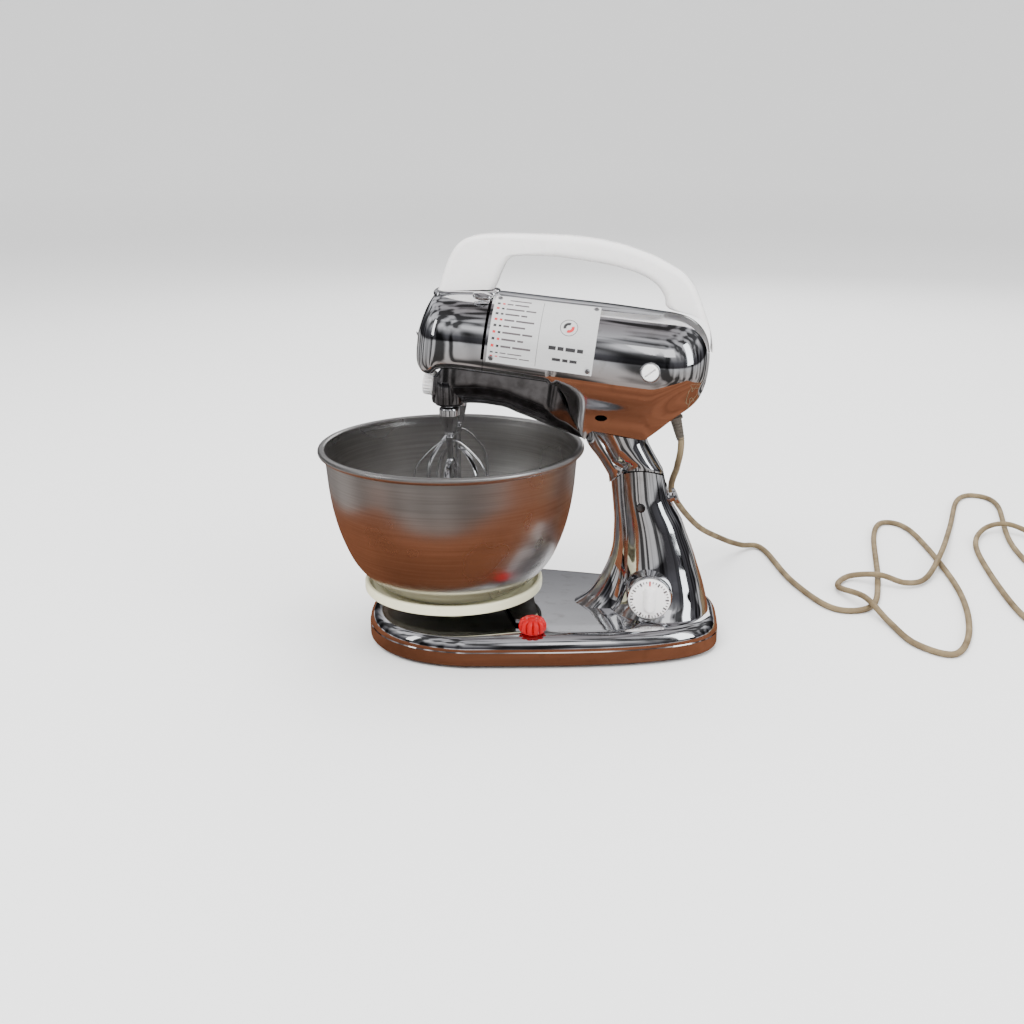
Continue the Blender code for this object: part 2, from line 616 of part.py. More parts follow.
def skin_grid(stations, closed_from=None, upper=5, side=6, under=3, grow=0.0):
    """The head's skin over a list of u stations; stations from closed_from on meet under the head."""
    verts, rows = [], []
    for u in stations:
        closed = closed_from is not None and u >= closed_from
        half = head_half_section(u, upper, side, under)
        row = []
        for sign in (1, -1):
            side_row = []
            for k, (v, w) in enumerate(half):
                if sign < 0 and k == 0:
                    side_row.append(row[0])
                    continue
                if sign < 0 and closed and k == len(half) - 1:
                    side_row.append(row[-1])
                    continue
                side_row.append(len(verts))
                verts.append(head_point(u, sign * v, w))
            row = side_row if sign > 0 else row
            rows.append(side_row)
    faces = []
    for n in range(len(stations) - 1):
        for side_index in range(2):
            here, there = rows[2 * n + side_index], rows[2 * n + 2 + side_index]
            for k in range(min(len(here), len(there)) - 1):
                faces.append((here[k], here[k + 1], there[k + 1], there[k]))
    return verts, faces, rows


def build_rear_housing(mats, group):
    stations = [SEAM_GAP / 2, 28, 54, 62, 68, 74, 80, 91, 95, 104, 144]
    rear = [HEAD_REAR_START_U + HEAD_REAR_LENGTH * math.sin(math.radians(a)) for a in (16, 30, 43, 55, 66, 76)]
    verts, faces, rows = skin_grid(stations + rear, closed_from=HEAD_REAR_START_U)
    end = rows[-2][:] + rows[-1][-2:0:-1]
    centre = len(verts)
    verts.append(head_point(HEAD_REAR_START_U + HEAD_REAR_LENGTH - 0.1, 0.0, 2.0))
    faces += [(end[k], end[(k + 1) % len(end)], centre) for k in range(len(end))]
    housing = make_object("rear_housing", *thickened(verts, faces, SHELL_WALL), mats["chrome"], group)
    hole = placed(turned([(0, 0), (6.6, 0), (6.6, 120), (0, 120)], 20), head_point(BRUSH_U, -60, 0), (0, 1, 0))
    boolean(housing, make_object("brush_hole", *hole, mats["chrome"], group), "DIFFERENCE")
    relief_axis = Vector(CORD_ROUTE[0]) - Vector(CORD_EXIT)
    exit_hole = placed(turned([(0, -15), (4.2, -15), (4.2, 15), (0, 15)], 16), CORD_EXIT, relief_axis)
    boolean(housing, make_object("cord_hole", *exit_hole, mats["chrome"], group), "DIFFERENCE")


def build_nose_cap(mats, group):
    stations = [-SEAM_GAP / 2, -8, -16, -25, -34, -42, -47, -51.4, -54.4, -56.4, -59.0, -60.9, -62.2, -62.8]
    verts, faces, rows = skin_grid(stations)
    size = len(rows[0])
    for n in range(len(stations) - 1):
        if stations[n + 1] > -46:
            continue
        near, far = rows[2 * n], rows[2 * n + 1]
        next_near, next_far = rows[2 * n + 2], rows[2 * n + 3]
        faces.append((near[size - 1], far[size - 1], next_far[size - 1], next_near[size - 1]))
    end = rows[-2][:] + rows[-1][:0:-1]
    centre = len(verts)
    verts.append(head_point(-63.0, 0.0, -6.0))
    faces += [(end[k], end[(k + 1) % len(end)], centre) for k in range(len(end))]
    cap = make_object("nose_cap", *thickened(verts, faces, SHELL_WALL), mats["chrome"], group)
    arc = []
    first = math.radians(SPEED_REST_DEG - 6)
    last = math.radians(SPEED_REST_DEG + SPEED_TRAVEL_DEG + 6)
    for k in range(9):
        a = first + (last - first) * k / 8
        arc.append((-math.sin(a), math.cos(a)))
    outline = [(30 * x, 30 * y) for x, y in arc] + [(60 * x, 60 * y) for x, y in reversed(arc)]
    verts, faces = prism(outline, -2.2, 2.0, lambda p, u: head_point(u, p[0], p[1]))
    boolean(cap, make_object("speed_slot", verts, faces, mats["chrome"], group), "DIFFERENCE")


GEAR_CASE_FLOOR = [(-44, -62), (-38, -60.5), (-20, -57.0), (3, -54.3), (18, -54.5), (31.5, -57.9), (40, -59.9),
                   (75.3, -69.6), (92, -74.6)]
GEAR_CASE_TOP = [(-44, -34.5), (-40, -33), (-30, -16.5), (58, -16.5), (66, -22), (70, -27), (75, -36), (92, -52)]
GEAR_CASE_SIDE = [(-44, 24), (-38, 30), (-25, 33.5), (0, 35), (58, 35), (75, 25.6), (84, 19.5), (92, 14.5)]


def gear_case_ring(u, shrink):
    floor = curve_value(u, GEAR_CASE_FLOOR) + shrink
    side = curve_value(u, GEAR_CASE_SIDE) - shrink
    top = curve_value(u, GEAR_CASE_TOP) + shrink * 3
    rise = min(24.0, 0.7 * (top - floor))
    half = [(0.0, floor), (0.45 * side, floor + 0.03 * rise), (0.74 * side, floor + 0.19 * rise),
            (0.92 * side, floor + 0.54 * rise), (side, floor + rise), (side, top)]
    ring = [head_point(u, v, w) for v, w in half]
    return ring + [head_point(u, -v, w) for v, w in reversed(half[1:])]


def build_gear_case(mats, group):
    stations = (-44, -38, -28, -12, 3, 18, 32, 46, 60, 75, 92)
    case = make_object("gear_case", *loft([gear_case_ring(u, 0.0) for u in stations]), mats["dark_enamel"], group)
    hollow = loft([gear_case_ring(u, 2.8) for u in (-41, -36, -28, -12, 3, 18, 32, 46, 60, 75, 89)])
    boolean(case, make_object("case_hollow", *hollow, mats["dark_enamel"], group), "DIFFERENCE")
    sides = (-SPINDLE_Y, SPINDLE_Y)
    boss = turned([(0, 215.5), (11.7, 215.5), (12.5, 216.5), (12.5, 238), (0, 238)], 24)
    bosses = joined(*[placed(boss, (SPINDLE_X, y, 0), spin=0.05) for y in sides])
    boolean(case, make_object("bosses", *bosses, mats["dark_enamel"], group), "UNION")
    bores = joined(*[pin_bore(5.3, 50.0, (SPINDLE_X, y, 200), (0, 0, 1)) for y in sides],
                   pin_bore(4.6, 12.0, head_point(-48, 0, CAP_W), SHAFT_AXIS))
    boolean(case, make_object("case_bores", *bores, mats["dark_enamel"], group), "DIFFERENCE")


def build_front_cap(mats, group):
    ribs = 14
    rings = []
    for radius, depth, reach in ((9.6, 0.0, 44.6), (10.4, 0.0, 45.2), (10.4, 0.0, 47.0), (10.4, 0.9, 47.6),
                                 (10.2, 0.9, 53.2), (8.6, 0.4, 54.8)):
        ring = []
        for k in range(ribs * 2):
            angle = 2 * math.pi * k / (ribs * 2)
            r = radius - depth * (k % 2)
            ring.append(head_point(-reach, r * math.cos(angle), CAP_W + r * math.sin(angle)))
        rings.append(ring)
    cap = make_object("front_cap", *loft(rings), mats["white_plastic"], group)
    stem = placed(turned([(0, 0), (4.0, 0), (4.0, 6), (0, 6)], 16), head_point(-46, 0, CAP_W), SHAFT_AXIS)
    boolean(cap, make_object("cap_stem", *stem, mats["steel"], group), "UNION")


HANDLE_STATIONS = [
    # outer x, outer z, inner x, inner z, half width
    (-8.5, 311.8, 39.5, 313.4, 13.0), (-6.5, 318.0, 42.0, 318.5, 12.8), (-3.0, 329.0, 45.5, 327.0, 12.5),
    (2.0, 340.5, 49.5, 335.0, 12.5), (9.0, 350.5, 55.0, 340.0, 12.5), (21.0, 356.8, 62.0, 341.0, 12.5),
    (45.0, 359.0, 74.0, 341.2, 12.5), (95.0, 358.0, 95.0, 340.2, 12.5), (122.0, 355.6, 118.0, 337.2, 12.5),
    (148.0, 350.4, 139.0, 333.6, 12.5), (170.0, 343.0, 157.0, 328.8, 12.5), (188.0, 334.0, 170.5, 322.6, 12.5),
    (200.0, 326.5, 179.0, 315.6, 12.5), (208.5, 316.5, 183.6, 307.4, 12.5), (213.0, 307.5, 185.0, 300.8, 12.8),
    (217.0, 297.0, 190.0, 297.4, 13.0), (219.5, 290.5, 201.0, 295.2, 13.0), (221.8, 284.0, 211.5, 292.8, 13.0),
    (223.8, 277.0, 219.5, 286.6, 13.0), (225.4, 268.0, 223.6, 274.0, 12.6), (225.6, 262.0, 224.0, 263.0, 11.5),
]


def handle_ring(outer_x, outer_z, inner_x, inner_z, half_width):
    """A rounded rectangle between an outer and an inner point of the handle's side view."""
    length = math.hypot(inner_x - outer_x, inner_z - outer_z)
    corner = min(4.0, 0.35 * length)
    ring = []
    for cx, cy, start in ((1, 1, 0), (0, 1, 90), (0, -1, 180), (1, -1, 270)):
        for k in range(3):
            angle = math.radians(start + 45 * k)
            y = cy * (half_width - corner) + corner * math.sin(angle)
            along = (length - corner if cx else corner) + corner * math.cos(angle)
            share = along / length
            ring.append((outer_x + (inner_x - outer_x) * share, y, outer_z + (inner_z - outer_z) * share))
    return ring


def build_handle(mats, group):
    rings = [handle_ring(*station) for station in HANDLE_STATIONS]
    make_object("handle", *loft(rings), mats["white_plastic"], group)


NECK_FRONT = [(140, 142), (148, 140.5), (158, 135.5), (168, 129), (177, 122), (183, 119), (190, 117.5), (205, 116)]
NECK_GROOVE = [(140, 153), (152, 156), (161, 150), (174, 143), (187, 135), (198, 125), (205, 122)]
NECK_REAR = [(150, 187.5), (158, 182), (167, 177), (177, 173), (187, 172), (205, 172)]


def build_neck(mats, group):
    rings = []
    for level in (148, 155, 162, 169, 176, 183, 190, 198):
        half = column_section(curve_value(level, NECK_FRONT), curve_value(level, NECK_GROOVE),
                              curve_value(level, NECK_REAR), 20.0, 12.0)

        def lift(x, y, level=level):
            if level > 148:
                return (x, y, max(level, saddle_height(x) + 0.8 * (level - 148)))
            return (x, y, saddle_height(x))
        rings.append(mirrored_ring(half, lift))
    verts, faces = loft(rings, caps=(False, True))
    faces += strip_cap(0, len(rings[0]))
    neck = make_object("neck", verts, faces, mats["chrome"], group)
    above = [(40, -56.5), (60, -66.0), (75.3, -70.3), (91.5, -75.4), (92.6, -75.4), (94.6, -63.4), (99, -62.9),
             (150, -65.1), (170, -66), (170, -20), (40, -20)]
    verts, faces = prism(above, -40.0, 40.0, lambda p, v: head_point(p[0], v, p[1]))
    boolean(neck, make_object("neck_top", verts, faces, mats["chrome"], group), "DIFFERENCE")
    outline = hinge_arc(TONGUE_EYE_RADIUS, 112.0, 80.0 + 360.0, 14)
    outline += hinge_arc(SADDLE_RADIUS + 4.0, 80.0, 112.0, 2)
    verts, faces = prism(outline, -TONGUE_HALF_WIDTH, TONGUE_HALF_WIDTH, lambda p, y: (p[0], y, p[1]))
    boolean(neck, make_object("tongue", verts, faces, mats["chrome"], group), "UNION")
    bore = placed(turned([(0, 0), (4.1, 0), (4.1, 60), (0, 60)], 16), (HINGE_X, -30.0, HINGE_Z), (0, 1, 0))
    boolean(neck, make_object("tongue_bore", *bore, mats["chrome"], group), "DIFFERENCE")


def saddle_height(x):
    return HINGE_Z + math.sqrt(max(SADDLE_RADIUS ** 2 - (x - HINGE_X) ** 2, 0.0))


def plate_point(u, girth, lift):
    """A point near the housing's near side: girth from 0 at the crown, 1 at the waist, more below it."""
    top, half = curve_value(u, HEAD_TOP), curve_value(u, HEAD_SIDE)
    if girth > 1.0:
        return head_point(u, -(half + lift), -(girth - 1.0) * 40.0)
    t = math.pi / 2 * girth
    v, w = half * math.sin(t) ** 0.94, top * math.cos(t) ** 0.94
    normal = Vector((v / half ** 2, w / top ** 2)).normalized()
    return head_point(u, -(v + normal.x * lift), w + normal.y * lift)


def build_spec_plate(mats, group):
    girths = (0.23, 0.33, 0.43, 0.53, 0.63, 0.73, 0.82, 0.91, 1.0, 1.12, 1.24)
    stations = (2.6, 20, 38, 56, 74, 91.2)
    layers = []
    for lift in (0.4, 1.2):
        layers.append([[plate_point(u, g, lift) for g in girths] for u in stations])
    size = len(girths)
    verts = [p for layer in layers for row in layer for p in row]
    faces, total = [], len(stations) * size
    for n in range(len(stations) - 1):
        for k in range(size - 1):
            a = n * size + k
            faces.append((a, a + 1, a + size + 1, a + size))
            faces.append((total + a, total + a + size, total + a + size + 1, total + a + 1))
    rim = [k for k in range(size)] + [n * size + size - 1 for n in range(1, len(stations))]
    rim += [(len(stations) - 1) * size + k for k in reversed(range(size - 1))]
    rim += [n * size for n in reversed(range(1, len(stations) - 1))]
    for a, b in zip(rim, rim[1:] + rim[:1]):
        faces.append((a, b, total + b, total + a))
    make_object("spec_plate", verts, faces, mats["aluminium"], group)
    corners = (("front_top", 6.4, 0.285), ("rear_top", 87.4, 0.285), ("front_low", 6.4, 1.15), ("rear_low", 87.4, 1.15))
    for name, u, girth in corners:
        seat, tip = Vector(plate_point(u, girth, 1.6)), Vector(plate_point(u, girth, 2.6))
        dome = turned([(0, 0), (2.2, 0), (2.0, 0.6), (1.2, 1.1), (0, 1.3)], 12)
        make_object("plate_screw_" + name, *placed(dome, seat, tip - seat), mats["steel"], group)


def about_shaft(profile, steps, closed=False):
    """A turned shape about the motor's axis, its heights measured along u."""
    return placed(turned(profile, steps, closed), (HEAD_ORIGIN_X, 0.0, HEAD_ORIGIN_Z), SHAFT_AXIS)


def build_head_fittings(mats, head):
    for side, sign in (("near", -1), ("far", 1)):
        out = (0.0, float(sign), 0.0)
        cap = turned([(0, 37.5), (6.0, 37.5), (6.0, 46.6), (7.8, 46.9), (7.8, 48.4), (7.0, 49.2), (0, 49.2)], 24)
        make_object("brush_cap_" + side, *placed(cap, head_point(BRUSH_U, 0, 0), out), mats["white_plastic"], head)
        x, y, z = head_point(BRUSH_U, 0, 0)
        ends = sorted((sign * 12.8, sign * 37.0))
        make_object("brush_" + side, *box((x - 3, ends[0], z - 3), (x + 3, ends[1], z + 3)), mats["carbon"], head,
                    smooth=False)

    ring = [(21.5, 66), (32, 66), (32, 106), (21.5, 106)]
    make_object("stator", *about_shaft(ring, 28, closed=True), mats["steel"], head)
    for name, start in (("field_coil_front", 56.5), ("field_coil_rear", 106.5)):
        coil = [(22.5, start), (30, start), (31, start + 4.5), (30, start + 9), (22.5, start + 9)]
        make_object(name, *about_shaft(coil, 24, closed=True), mats["copper"], head)
    front = [(4.6, 36), (8.0, 36), (8.0, 38.6), (29.0, 38.6), (29.0, 41.2), (8.0, 41.2), (8.0, 45), (4.6, 45)]
    make_object("front_bearing_plate", *about_shaft(front, 20, closed=True), mats["steel"], head)
    rear = [(4.6, 152), (8.0, 152), (8.0, 156.4), (26, 156.4), (26, 159), (8, 159), (8, 161), (4.6, 161)]
    make_object("rear_bearing_plate", *about_shaft(rear, 20, closed=True), mats["steel"], head)


def build_armature(mats, group):
    profile = [(0, -49), (3.4, -49), (4.0, -48.4), (4.0, 62), (15, 64), (16.5, 70), (20.5, 70), (20.5, 102),
               (16.5, 102), (15, 108), (4.0, 110), (4.0, 168), (0, 168)]
    armature = make_object("armature", *about_shaft(profile, 24), mats["steel"], group)
    bars = [(4.4, 131), (11.6, 131), (11.6, 147), (4.4, 147)]
    make_object("commutator", *about_shaft(bars, 24, closed=True), mats["copper"], group)
    worm = [(4.4, -44)]
    for k in range(3):
        start = -44 + k * 6.6
        worm += [(5.2, start), (6.3, start + 1.6), (6.3, start + 4.4), (5.2, start + 6.0)]
    worm += [(5.2, -24), (4.4, -24)]
    make_object("worm", *about_shaft(worm, 16, closed=True), mats["steel"], group)
    blades = 9
    ring_low, ring_high = [], []
    for k in range(blades * 4):
        angle = 2 * math.pi * k / (blades * 4)
        r = 27.0 if k % 4 < 2 else 12.0
        twist = math.radians(12)
        ring_low.append(head_point(47.5, r * math.cos(angle), r * math.sin(angle)))
        ring_high.append(head_point(54.5, r * math.cos(angle + twist), r * math.sin(angle + twist)))
    fan = make_object("fan", *loft([ring_low, ring_high]), mats["aluminium"], group)
    bore = about_shaft([(0, 40), (4.5, 40), (4.5, 60), (0, 60)], 16)
    boolean(fan, make_object("fan_bore", *bore, mats["steel"], group), "DIFFERENCE")


def build_spindle(mats, group, side, y, phase_deg):
    shaft = [(0, 203), (3.2, 203), (3.2, 189), (5.0, 189), (6.1, 192), (6.5, 196), (8.2, 203), (8.9, 206),
             (8.9, 212.4), (8.2, 213.2), (4.7, 213.4), (4.7, 262.0), (0, 262.0)]
    make_object("spindle_" + side, *placed(turned(shaft, 20), (SPINDLE_X, y, 0)), mats["chrome"], group)
    teeth = 24
    rings = []
    for height in (262.4, 275.0):
        ring = []
        for k in range(teeth * 2):
            angle = math.pi * k / teeth
            r = 14.2 if k % 2 == 0 else 12.8
            ring.append((SPINDLE_X + r * math.cos(angle), y + r * math.sin(angle), height))
        rings.append(ring)
    make_object("worm_wheel_" + side, *loft(rings), mats["bronze"], group)
    build_beater(mats, group, side, y, math.radians(phase_deg))


BEATER_LOOP = [(3.0, 184.0), (9.0, 181.5), (20.0, 172.0), (29.5, 160.0), (33.0, 146.0), (33.0, 120.0), (32.0, 96.0),
               (27.5, 76.0), (18.0, 64.0), (8.0, 59.5), (2.0, 58.5)]


LOW_LOOP = [(3.0, 167.0), (9.0, 165.5), (18.5, 160.0), (26.5, 150.0), (30.0, 138.0), (30.5, 120.0), (29.5, 97.0),
            (25.5, 77.5), (17.0, 66.5), (8.0, 62.0), (2.0, 61.0)]


def build_beater(mats, group, side, y, phase):
    """A shaft with a tall and a low loop of flat strip across each other."""
    stem = placed(turned([(0, 56.5), (2.6, 57.5), (3.0, 60), (2.7, 66), (2.7, 201.0), (2.2, 202.0), (0, 202.0)], 12),
                  (SPINDLE_X, y, 0), spin=phase + 0.13)
    beater = make_object("beater_" + side, *stem, mats["chrome"], group)
    for k, half_loop in enumerate((BEATER_LOOP, LOW_LOOP)):
        turn = phase + math.pi / 2 * k
        rings = []
        path = half_loop + [(-r, z) for r, z in reversed(half_loop)]
        for i, (r, z) in enumerate(path):
            before, after = path[i - 1], path[(i + 1) % len(path)]
            along = Vector((after[0] - before[0], after[1] - before[1])).normalized()
            ring = []
            for across, out in ((-2.4, -0.6), (2.4, -0.6), (2.4, 0.6), (-2.4, 0.6)):
                px, pz = r + along.y * out, z - along.x * out
                ring.append((SPINDLE_X + px * math.cos(turn) - across * math.sin(turn),
                             y + px * math.sin(turn) + across * math.cos(turn), pz))
            rings.append(ring)
        size = len(rings[0])
        verts = [p for ring in rings for p in ring]
        faces = []
        for n in range(len(rings)):
            m = (n + 1) % len(rings)
            for i in range(size):
                j = (i + 1) % size
                faces.append((n * size + i, n * size + j, m * size + j, m * size + i))
        boolean(beater, make_object("loop_%s_%d" % (side, k), verts, faces, mats["chrome"], group), "UNION")


def build_speed_ring(mats, group):
    ring = about_shaft([(27, -9), (30.5, -9), (30.5, -5.5), (27, -5.5)], 28, closed=True)
    control = make_object("speed_ring", *ring, mats["steel"], group)
    rest = math.radians(SPEED_REST_DEG)

    def polar(u, radius, across):
        v = -radius * math.sin(rest) - across * math.cos(rest)
        w = radius * math.cos(rest) - across * math.sin(rest)
        return head_point(u, v, w)
    stem = [[polar(u, radius, across) for u, across in ((-6.5, -2.5), (-0.6, -2.5), (-0.6, 2.5), (-6.5, 2.5))]
            for radius in (28.0, 36.0)]
    stem_out = [[polar(u, radius, across) for u, across in ((-1.8, -2.4), (-0.5, -2.4), (-0.5, 2.4), (-1.8, 2.4))]
                for radius in (35.0, 48.0)]
    tab = []
    for radius, scale in ((47.0, 0.9), (47.8, 1.0), (49.2, 1.0), (50.6, 0.72)):
        ring = []
        for k in range(16):
            angle = 2 * math.pi * k / 16
            ring.append(polar(-8.8 + 8.2 * scale * math.cos(angle), radius, 4.6 * scale * math.sin(angle)))
        tab.append(ring)
    boolean(control, make_object("speed_arm", *loft(stem), mats["steel"], group), "UNION")
    boolean(control, make_object("speed_stem", *loft(stem_out), mats["steel"], group), "UNION")
    boolean(control, make_object("speed_tab", *loft(tab), mats["chrome"], group), "UNION")


# ---------------------------------------------------------------- mains lead
RELIEF_GAP = 2.2
CORD_ROUTE = [
    (202.3, 2.8, 181.8), (202.0, 8.0, 169.0), (200.0, 18.0, 154.0), (197.5, 54.0, 119.5),
    (225.0, 140.0, 61.0), (256.0, 202.0, 26.0), (279.0, 237.0, 8.0), (302.0, 242.0, 3.1),
    (324.0, 143.0, 3.1), (355.0, 73.0, 3.1), (392.0, 80.0, 3.1), (411.0, 152.0, 3.1), (432.0, 300.0, 3.1),
    (452.0, 350.0, 3.1), (477.0, 318.0, 3.1), (487.0, 155.0, 3.1), (475.0, 44.0, 3.1),
    (448.0, -24.0, 3.1), (417.0, -6.0, 3.1), (402.0, 42.0, 4.0), (387.0, 86.0, 10.4), (368.0, 128.0, 4.6),
    (383.0, 158.0, 5.0), (411.0, 150.0, 10.6), (436.0, 142.0, 6.0), (460.0, 160.0, 5.2),
    (489.0, 226.0, 10.6), (526.0, 345.0, 3.1), (558.0, 450.0, 3.1), (584.0, 474.0, 3.1),
    (602.0, 436.0, 3.1), (578.0, 280.0, 3.1), (582.0, 108.0, 3.1), (562.0, 38.0, 3.1), (531.0, 72.0, 3.1),
    (534.0, 250.0, 3.1), (556.0, 322.0, 6.4), (588.0, 334.0, 10.6), (618.0, 292.0, 3.4),
    (617.5, 190.0, 8.6),
]
PLUG_START = Vector((617.4, 189.4, 8.6))
PLUG_AXIS = Vector((-0.17, -0.985, 0.0)).normalized()


def smooth_route(points, count):
    """Evenly spaced points on a Catmull-Rom curve through the route."""
    dense = []
    route = [Vector(p) for p in points]
    for i in range(len(route) - 1):
        p0, p1 = route[max(i - 1, 0)], route[i]
        p2, p3 = route[i + 1], route[min(i + 2, len(route) - 1)]
        for k in range(12):
            t = k / 12
            dense.append(0.5 * ((2 * p1) + (p2 - p0) * t + (2 * p0 - 5 * p1 + 4 * p2 - p3) * t ** 2
                                + (3 * p1 - p0 - 3 * p2 + p3) * t ** 3))
    dense.append(route[-1])
    for point in dense:
        point.z = max(point.z, CORD_RADIUS + 0.1)
    lengths = [0.0]
    for a, b in zip(dense, dense[1:]):
        lengths.append(lengths[-1] + (b - a).length)
    even, i = [], 0
    for k in range(count):
        target = lengths[-1] * k / (count - 1)
        while i < len(dense) - 2 and lengths[i + 1] < target:
            i += 1
        share = (target - lengths[i]) / max(lengths[i + 1] - lengths[i], 1e-9)
        even.append(dense[i].lerp(dense[i + 1], share))
    return even


def build_cord(mats, stand, head):
    start = Vector(CORD_EXIT)
    relief_axis = Vector(CORD_ROUTE[0]) - start
    tip = relief_axis.length - RELIEF_GAP
    profile = [(0, -4.5), (3.6, -4.5), (3.6, 2.0), (6.4, 3.4), (6.4, 5.2), (4.6, 6.4), (3.5, tip), (0, tip)]
    make_object("strain_relief", *placed(turned(profile, 16), start, relief_axis), mats["rubber"], head)

    curve = bpy.data.curves.new("cord", "CURVE")
    curve.dimensions = "3D"
    curve.bevel_depth = CORD_RADIUS * MM
    curve.bevel_resolution = 2
    curve.render_resolution_u = 0
    curve.resolution_u = 1
    curve.use_fill_caps = True
    spline = curve.splines.new("POLY")
    route = smooth_route(CORD_ROUTE, 79)
    spline.points.add(len(route) - 1)
    for point, place in zip(spline.points, route):
        point.co = (*(place * MM), 1.0)
    curve.materials.append(mats["khaki_rubber"])
    cord = bpy.data.objects.new("cord", curve)
    bpy.context.collection.objects.link(cord)
    cord.parent = stand.empty

    body = turned([(0, 0.6), (4.0, 0.6), (4.6, 6), (8.0, 12), (8.2, 14), (8.2, 30), (7.6, 32), (0, 32)], 20)
    make_object("plug_body", *placed(body, PLUG_START, PLUG_AXIS), mats["rubber"], stand)
    side = PLUG_AXIS.cross(Vector((0, 0, 1)))
    for name, sign in (("plug_blade_left", -1), ("plug_blade_right", 1)):
        centre = PLUG_START + PLUG_AXIS * 32.3 + side * (sign * 6.2)
        rings = []
        for reach in (0.0, 16.0):
            middle = centre + PLUG_AXIS * reach
            rings.append([middle + side * a + Vector((0, 0, b)) for a, b in
                          ((-0.75, -3.0), (0.75, -3.0), (0.75, 3.0), (-0.75, 3.0))])
        make_object(name, *loft(rings), mats["bronze"], stand, smooth=False)


def main():
    clear_scene()
    mats = make_materials()
    stand = Group("stand_axes", (0.0, 0.0, 0.0))
    head = Group("head_axes", (HINGE_X, 0.0, HINGE_Z), stand)
    timer = Group("timer_axes", (DIAL_X, DIAL_FACE_Y, DIAL_Z), stand)
    latch = Group("latch_axes", (LATCH_X, 0.0, LATCH_Z), stand)
    shift = Group("shift_axes", (ARM_PIVOT_X, 0.0, ARM_BOTTOM_Z), stand)
    table = Group("turntable_axes", (TABLE_X, TABLE_Y, TURNTABLE_BOTTOM_Z), shift)
    shaft = Group("shaft_axes", (HEAD_ORIGIN_X, 0.0, HEAD_ORIGIN_Z), head)
    speed = Group("speed_axes", (HEAD_ORIGIN_X, 0.0, HEAD_ORIGIN_Z), head)
    cap = Group("front_cap_axes", head_point(-44.0, 0.0, CAP_W), head)
    near = Group("near_spindle_axes", (SPINDLE_X, -SPINDLE_Y, 200.0), head)
    far = Group("far_spindle_axes", (SPINDLE_X, SPINDLE_Y, 200.0), head)

    build_stand(mats, stand)
    build_pivot_screw(mats, stand)
    build_timer_dial(mats, timer)
    build_latch(mats, latch)
    build_shift_arm(mats, shift)
    build_turntable(mats, table)
    build_bowl(mats, table)
    build_rear_housing(mats, head)
    build_nose_cap(mats, head)
    build_gear_case(mats, head)
    build_handle(mats, head)
    build_neck(mats, head)
    build_spec_plate(mats, head)
    build_head_fittings(mats, head)
    build_armature(mats, shaft)
    build_spindle(mats, near, "near", -SPINDLE_Y, 0.0)
    build_spindle(mats, far, "far", SPINDLE_Y, 45.0)
    build_speed_ring(mats, speed)
    build_front_cap(mats, cap)
    build_cord(mats, stand, head)


main()
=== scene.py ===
"""Looks of the stand mixer: fine shells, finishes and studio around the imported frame.

Sizes are written in millimetres about the mixer's centre line, as in the part's source: x = 0 is the
bowl's axis, y = 0 the centre line and z = 0 the table. The head's own axes are u along the motor
shaft, v to the far side and w up. world() turns them into the frame's metres.
"""

import json
import math

import bmesh
import bpy
from mathutils import Matrix, Vector

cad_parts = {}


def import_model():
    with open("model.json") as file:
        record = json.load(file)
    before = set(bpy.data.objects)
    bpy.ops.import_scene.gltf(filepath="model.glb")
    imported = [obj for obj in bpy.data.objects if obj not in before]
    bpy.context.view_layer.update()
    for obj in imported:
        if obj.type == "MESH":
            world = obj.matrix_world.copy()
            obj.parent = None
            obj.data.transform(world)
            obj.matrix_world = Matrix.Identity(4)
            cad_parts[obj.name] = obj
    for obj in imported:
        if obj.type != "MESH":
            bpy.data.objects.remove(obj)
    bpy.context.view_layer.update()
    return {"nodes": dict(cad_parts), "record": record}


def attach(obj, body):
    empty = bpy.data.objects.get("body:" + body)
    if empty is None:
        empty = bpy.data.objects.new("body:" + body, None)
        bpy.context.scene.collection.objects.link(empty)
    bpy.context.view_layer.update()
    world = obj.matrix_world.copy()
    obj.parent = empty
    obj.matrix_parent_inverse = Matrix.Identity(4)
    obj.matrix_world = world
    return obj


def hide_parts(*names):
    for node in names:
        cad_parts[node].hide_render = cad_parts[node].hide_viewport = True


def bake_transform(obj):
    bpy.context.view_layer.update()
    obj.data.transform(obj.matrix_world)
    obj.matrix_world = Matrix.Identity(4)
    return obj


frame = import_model()
NODES = frame["nodes"]

FRAME_X, FRAME_Y = -62.13, 9.49
BASE_NOSE_X, BASE_WIDEST_X, BASE_REAR_X = -77.0, 24.0, 241.0
BASE_HALF_WIDTH, BASE_TAPER = 97.0, 0.1125
BASE_BOTTOM_Z, BASE_SKIRT_TOP_Z, BASE_TOP_Z, BASE_SHOULDER = 3.0, 16.0, 30.0, 14.0
HINGE_X, HINGE_Z = 169.0, 127.0
COLUMN_TOP_RADIUS, SADDLE_RADIUS = 32.4, 33.1
TONGUE_HALF_WIDTH, TONGUE_EYE_RADIUS = 8.0, 13.0
TILT_LIMIT_DEG = 40.0
MOTOR_ANGLE = math.radians(7.0)
HEAD_ORIGIN_X, HEAD_ORIGIN_Z = 35.75, 268.3
SHELL_WALL = 2.2
HEAD_REAR_START_U, HEAD_REAR_LENGTH = 144.0, 44.0
SPINDLE_X, SPINDLE_Y = 1.5, 21.0
BRUSH_U = 138.7
SPEED_REST_DEG = 33.0
CAP_W = -44.5
DIAL_X, DIAL_Z, DIAL_FACE_Y, DIAL_RADIUS = 179.0, 52.0, -44.0, 18.4
KNOB_X, KNOB_Y = 80.0, -80.0
TURNTABLE_RADIUS = 80.8
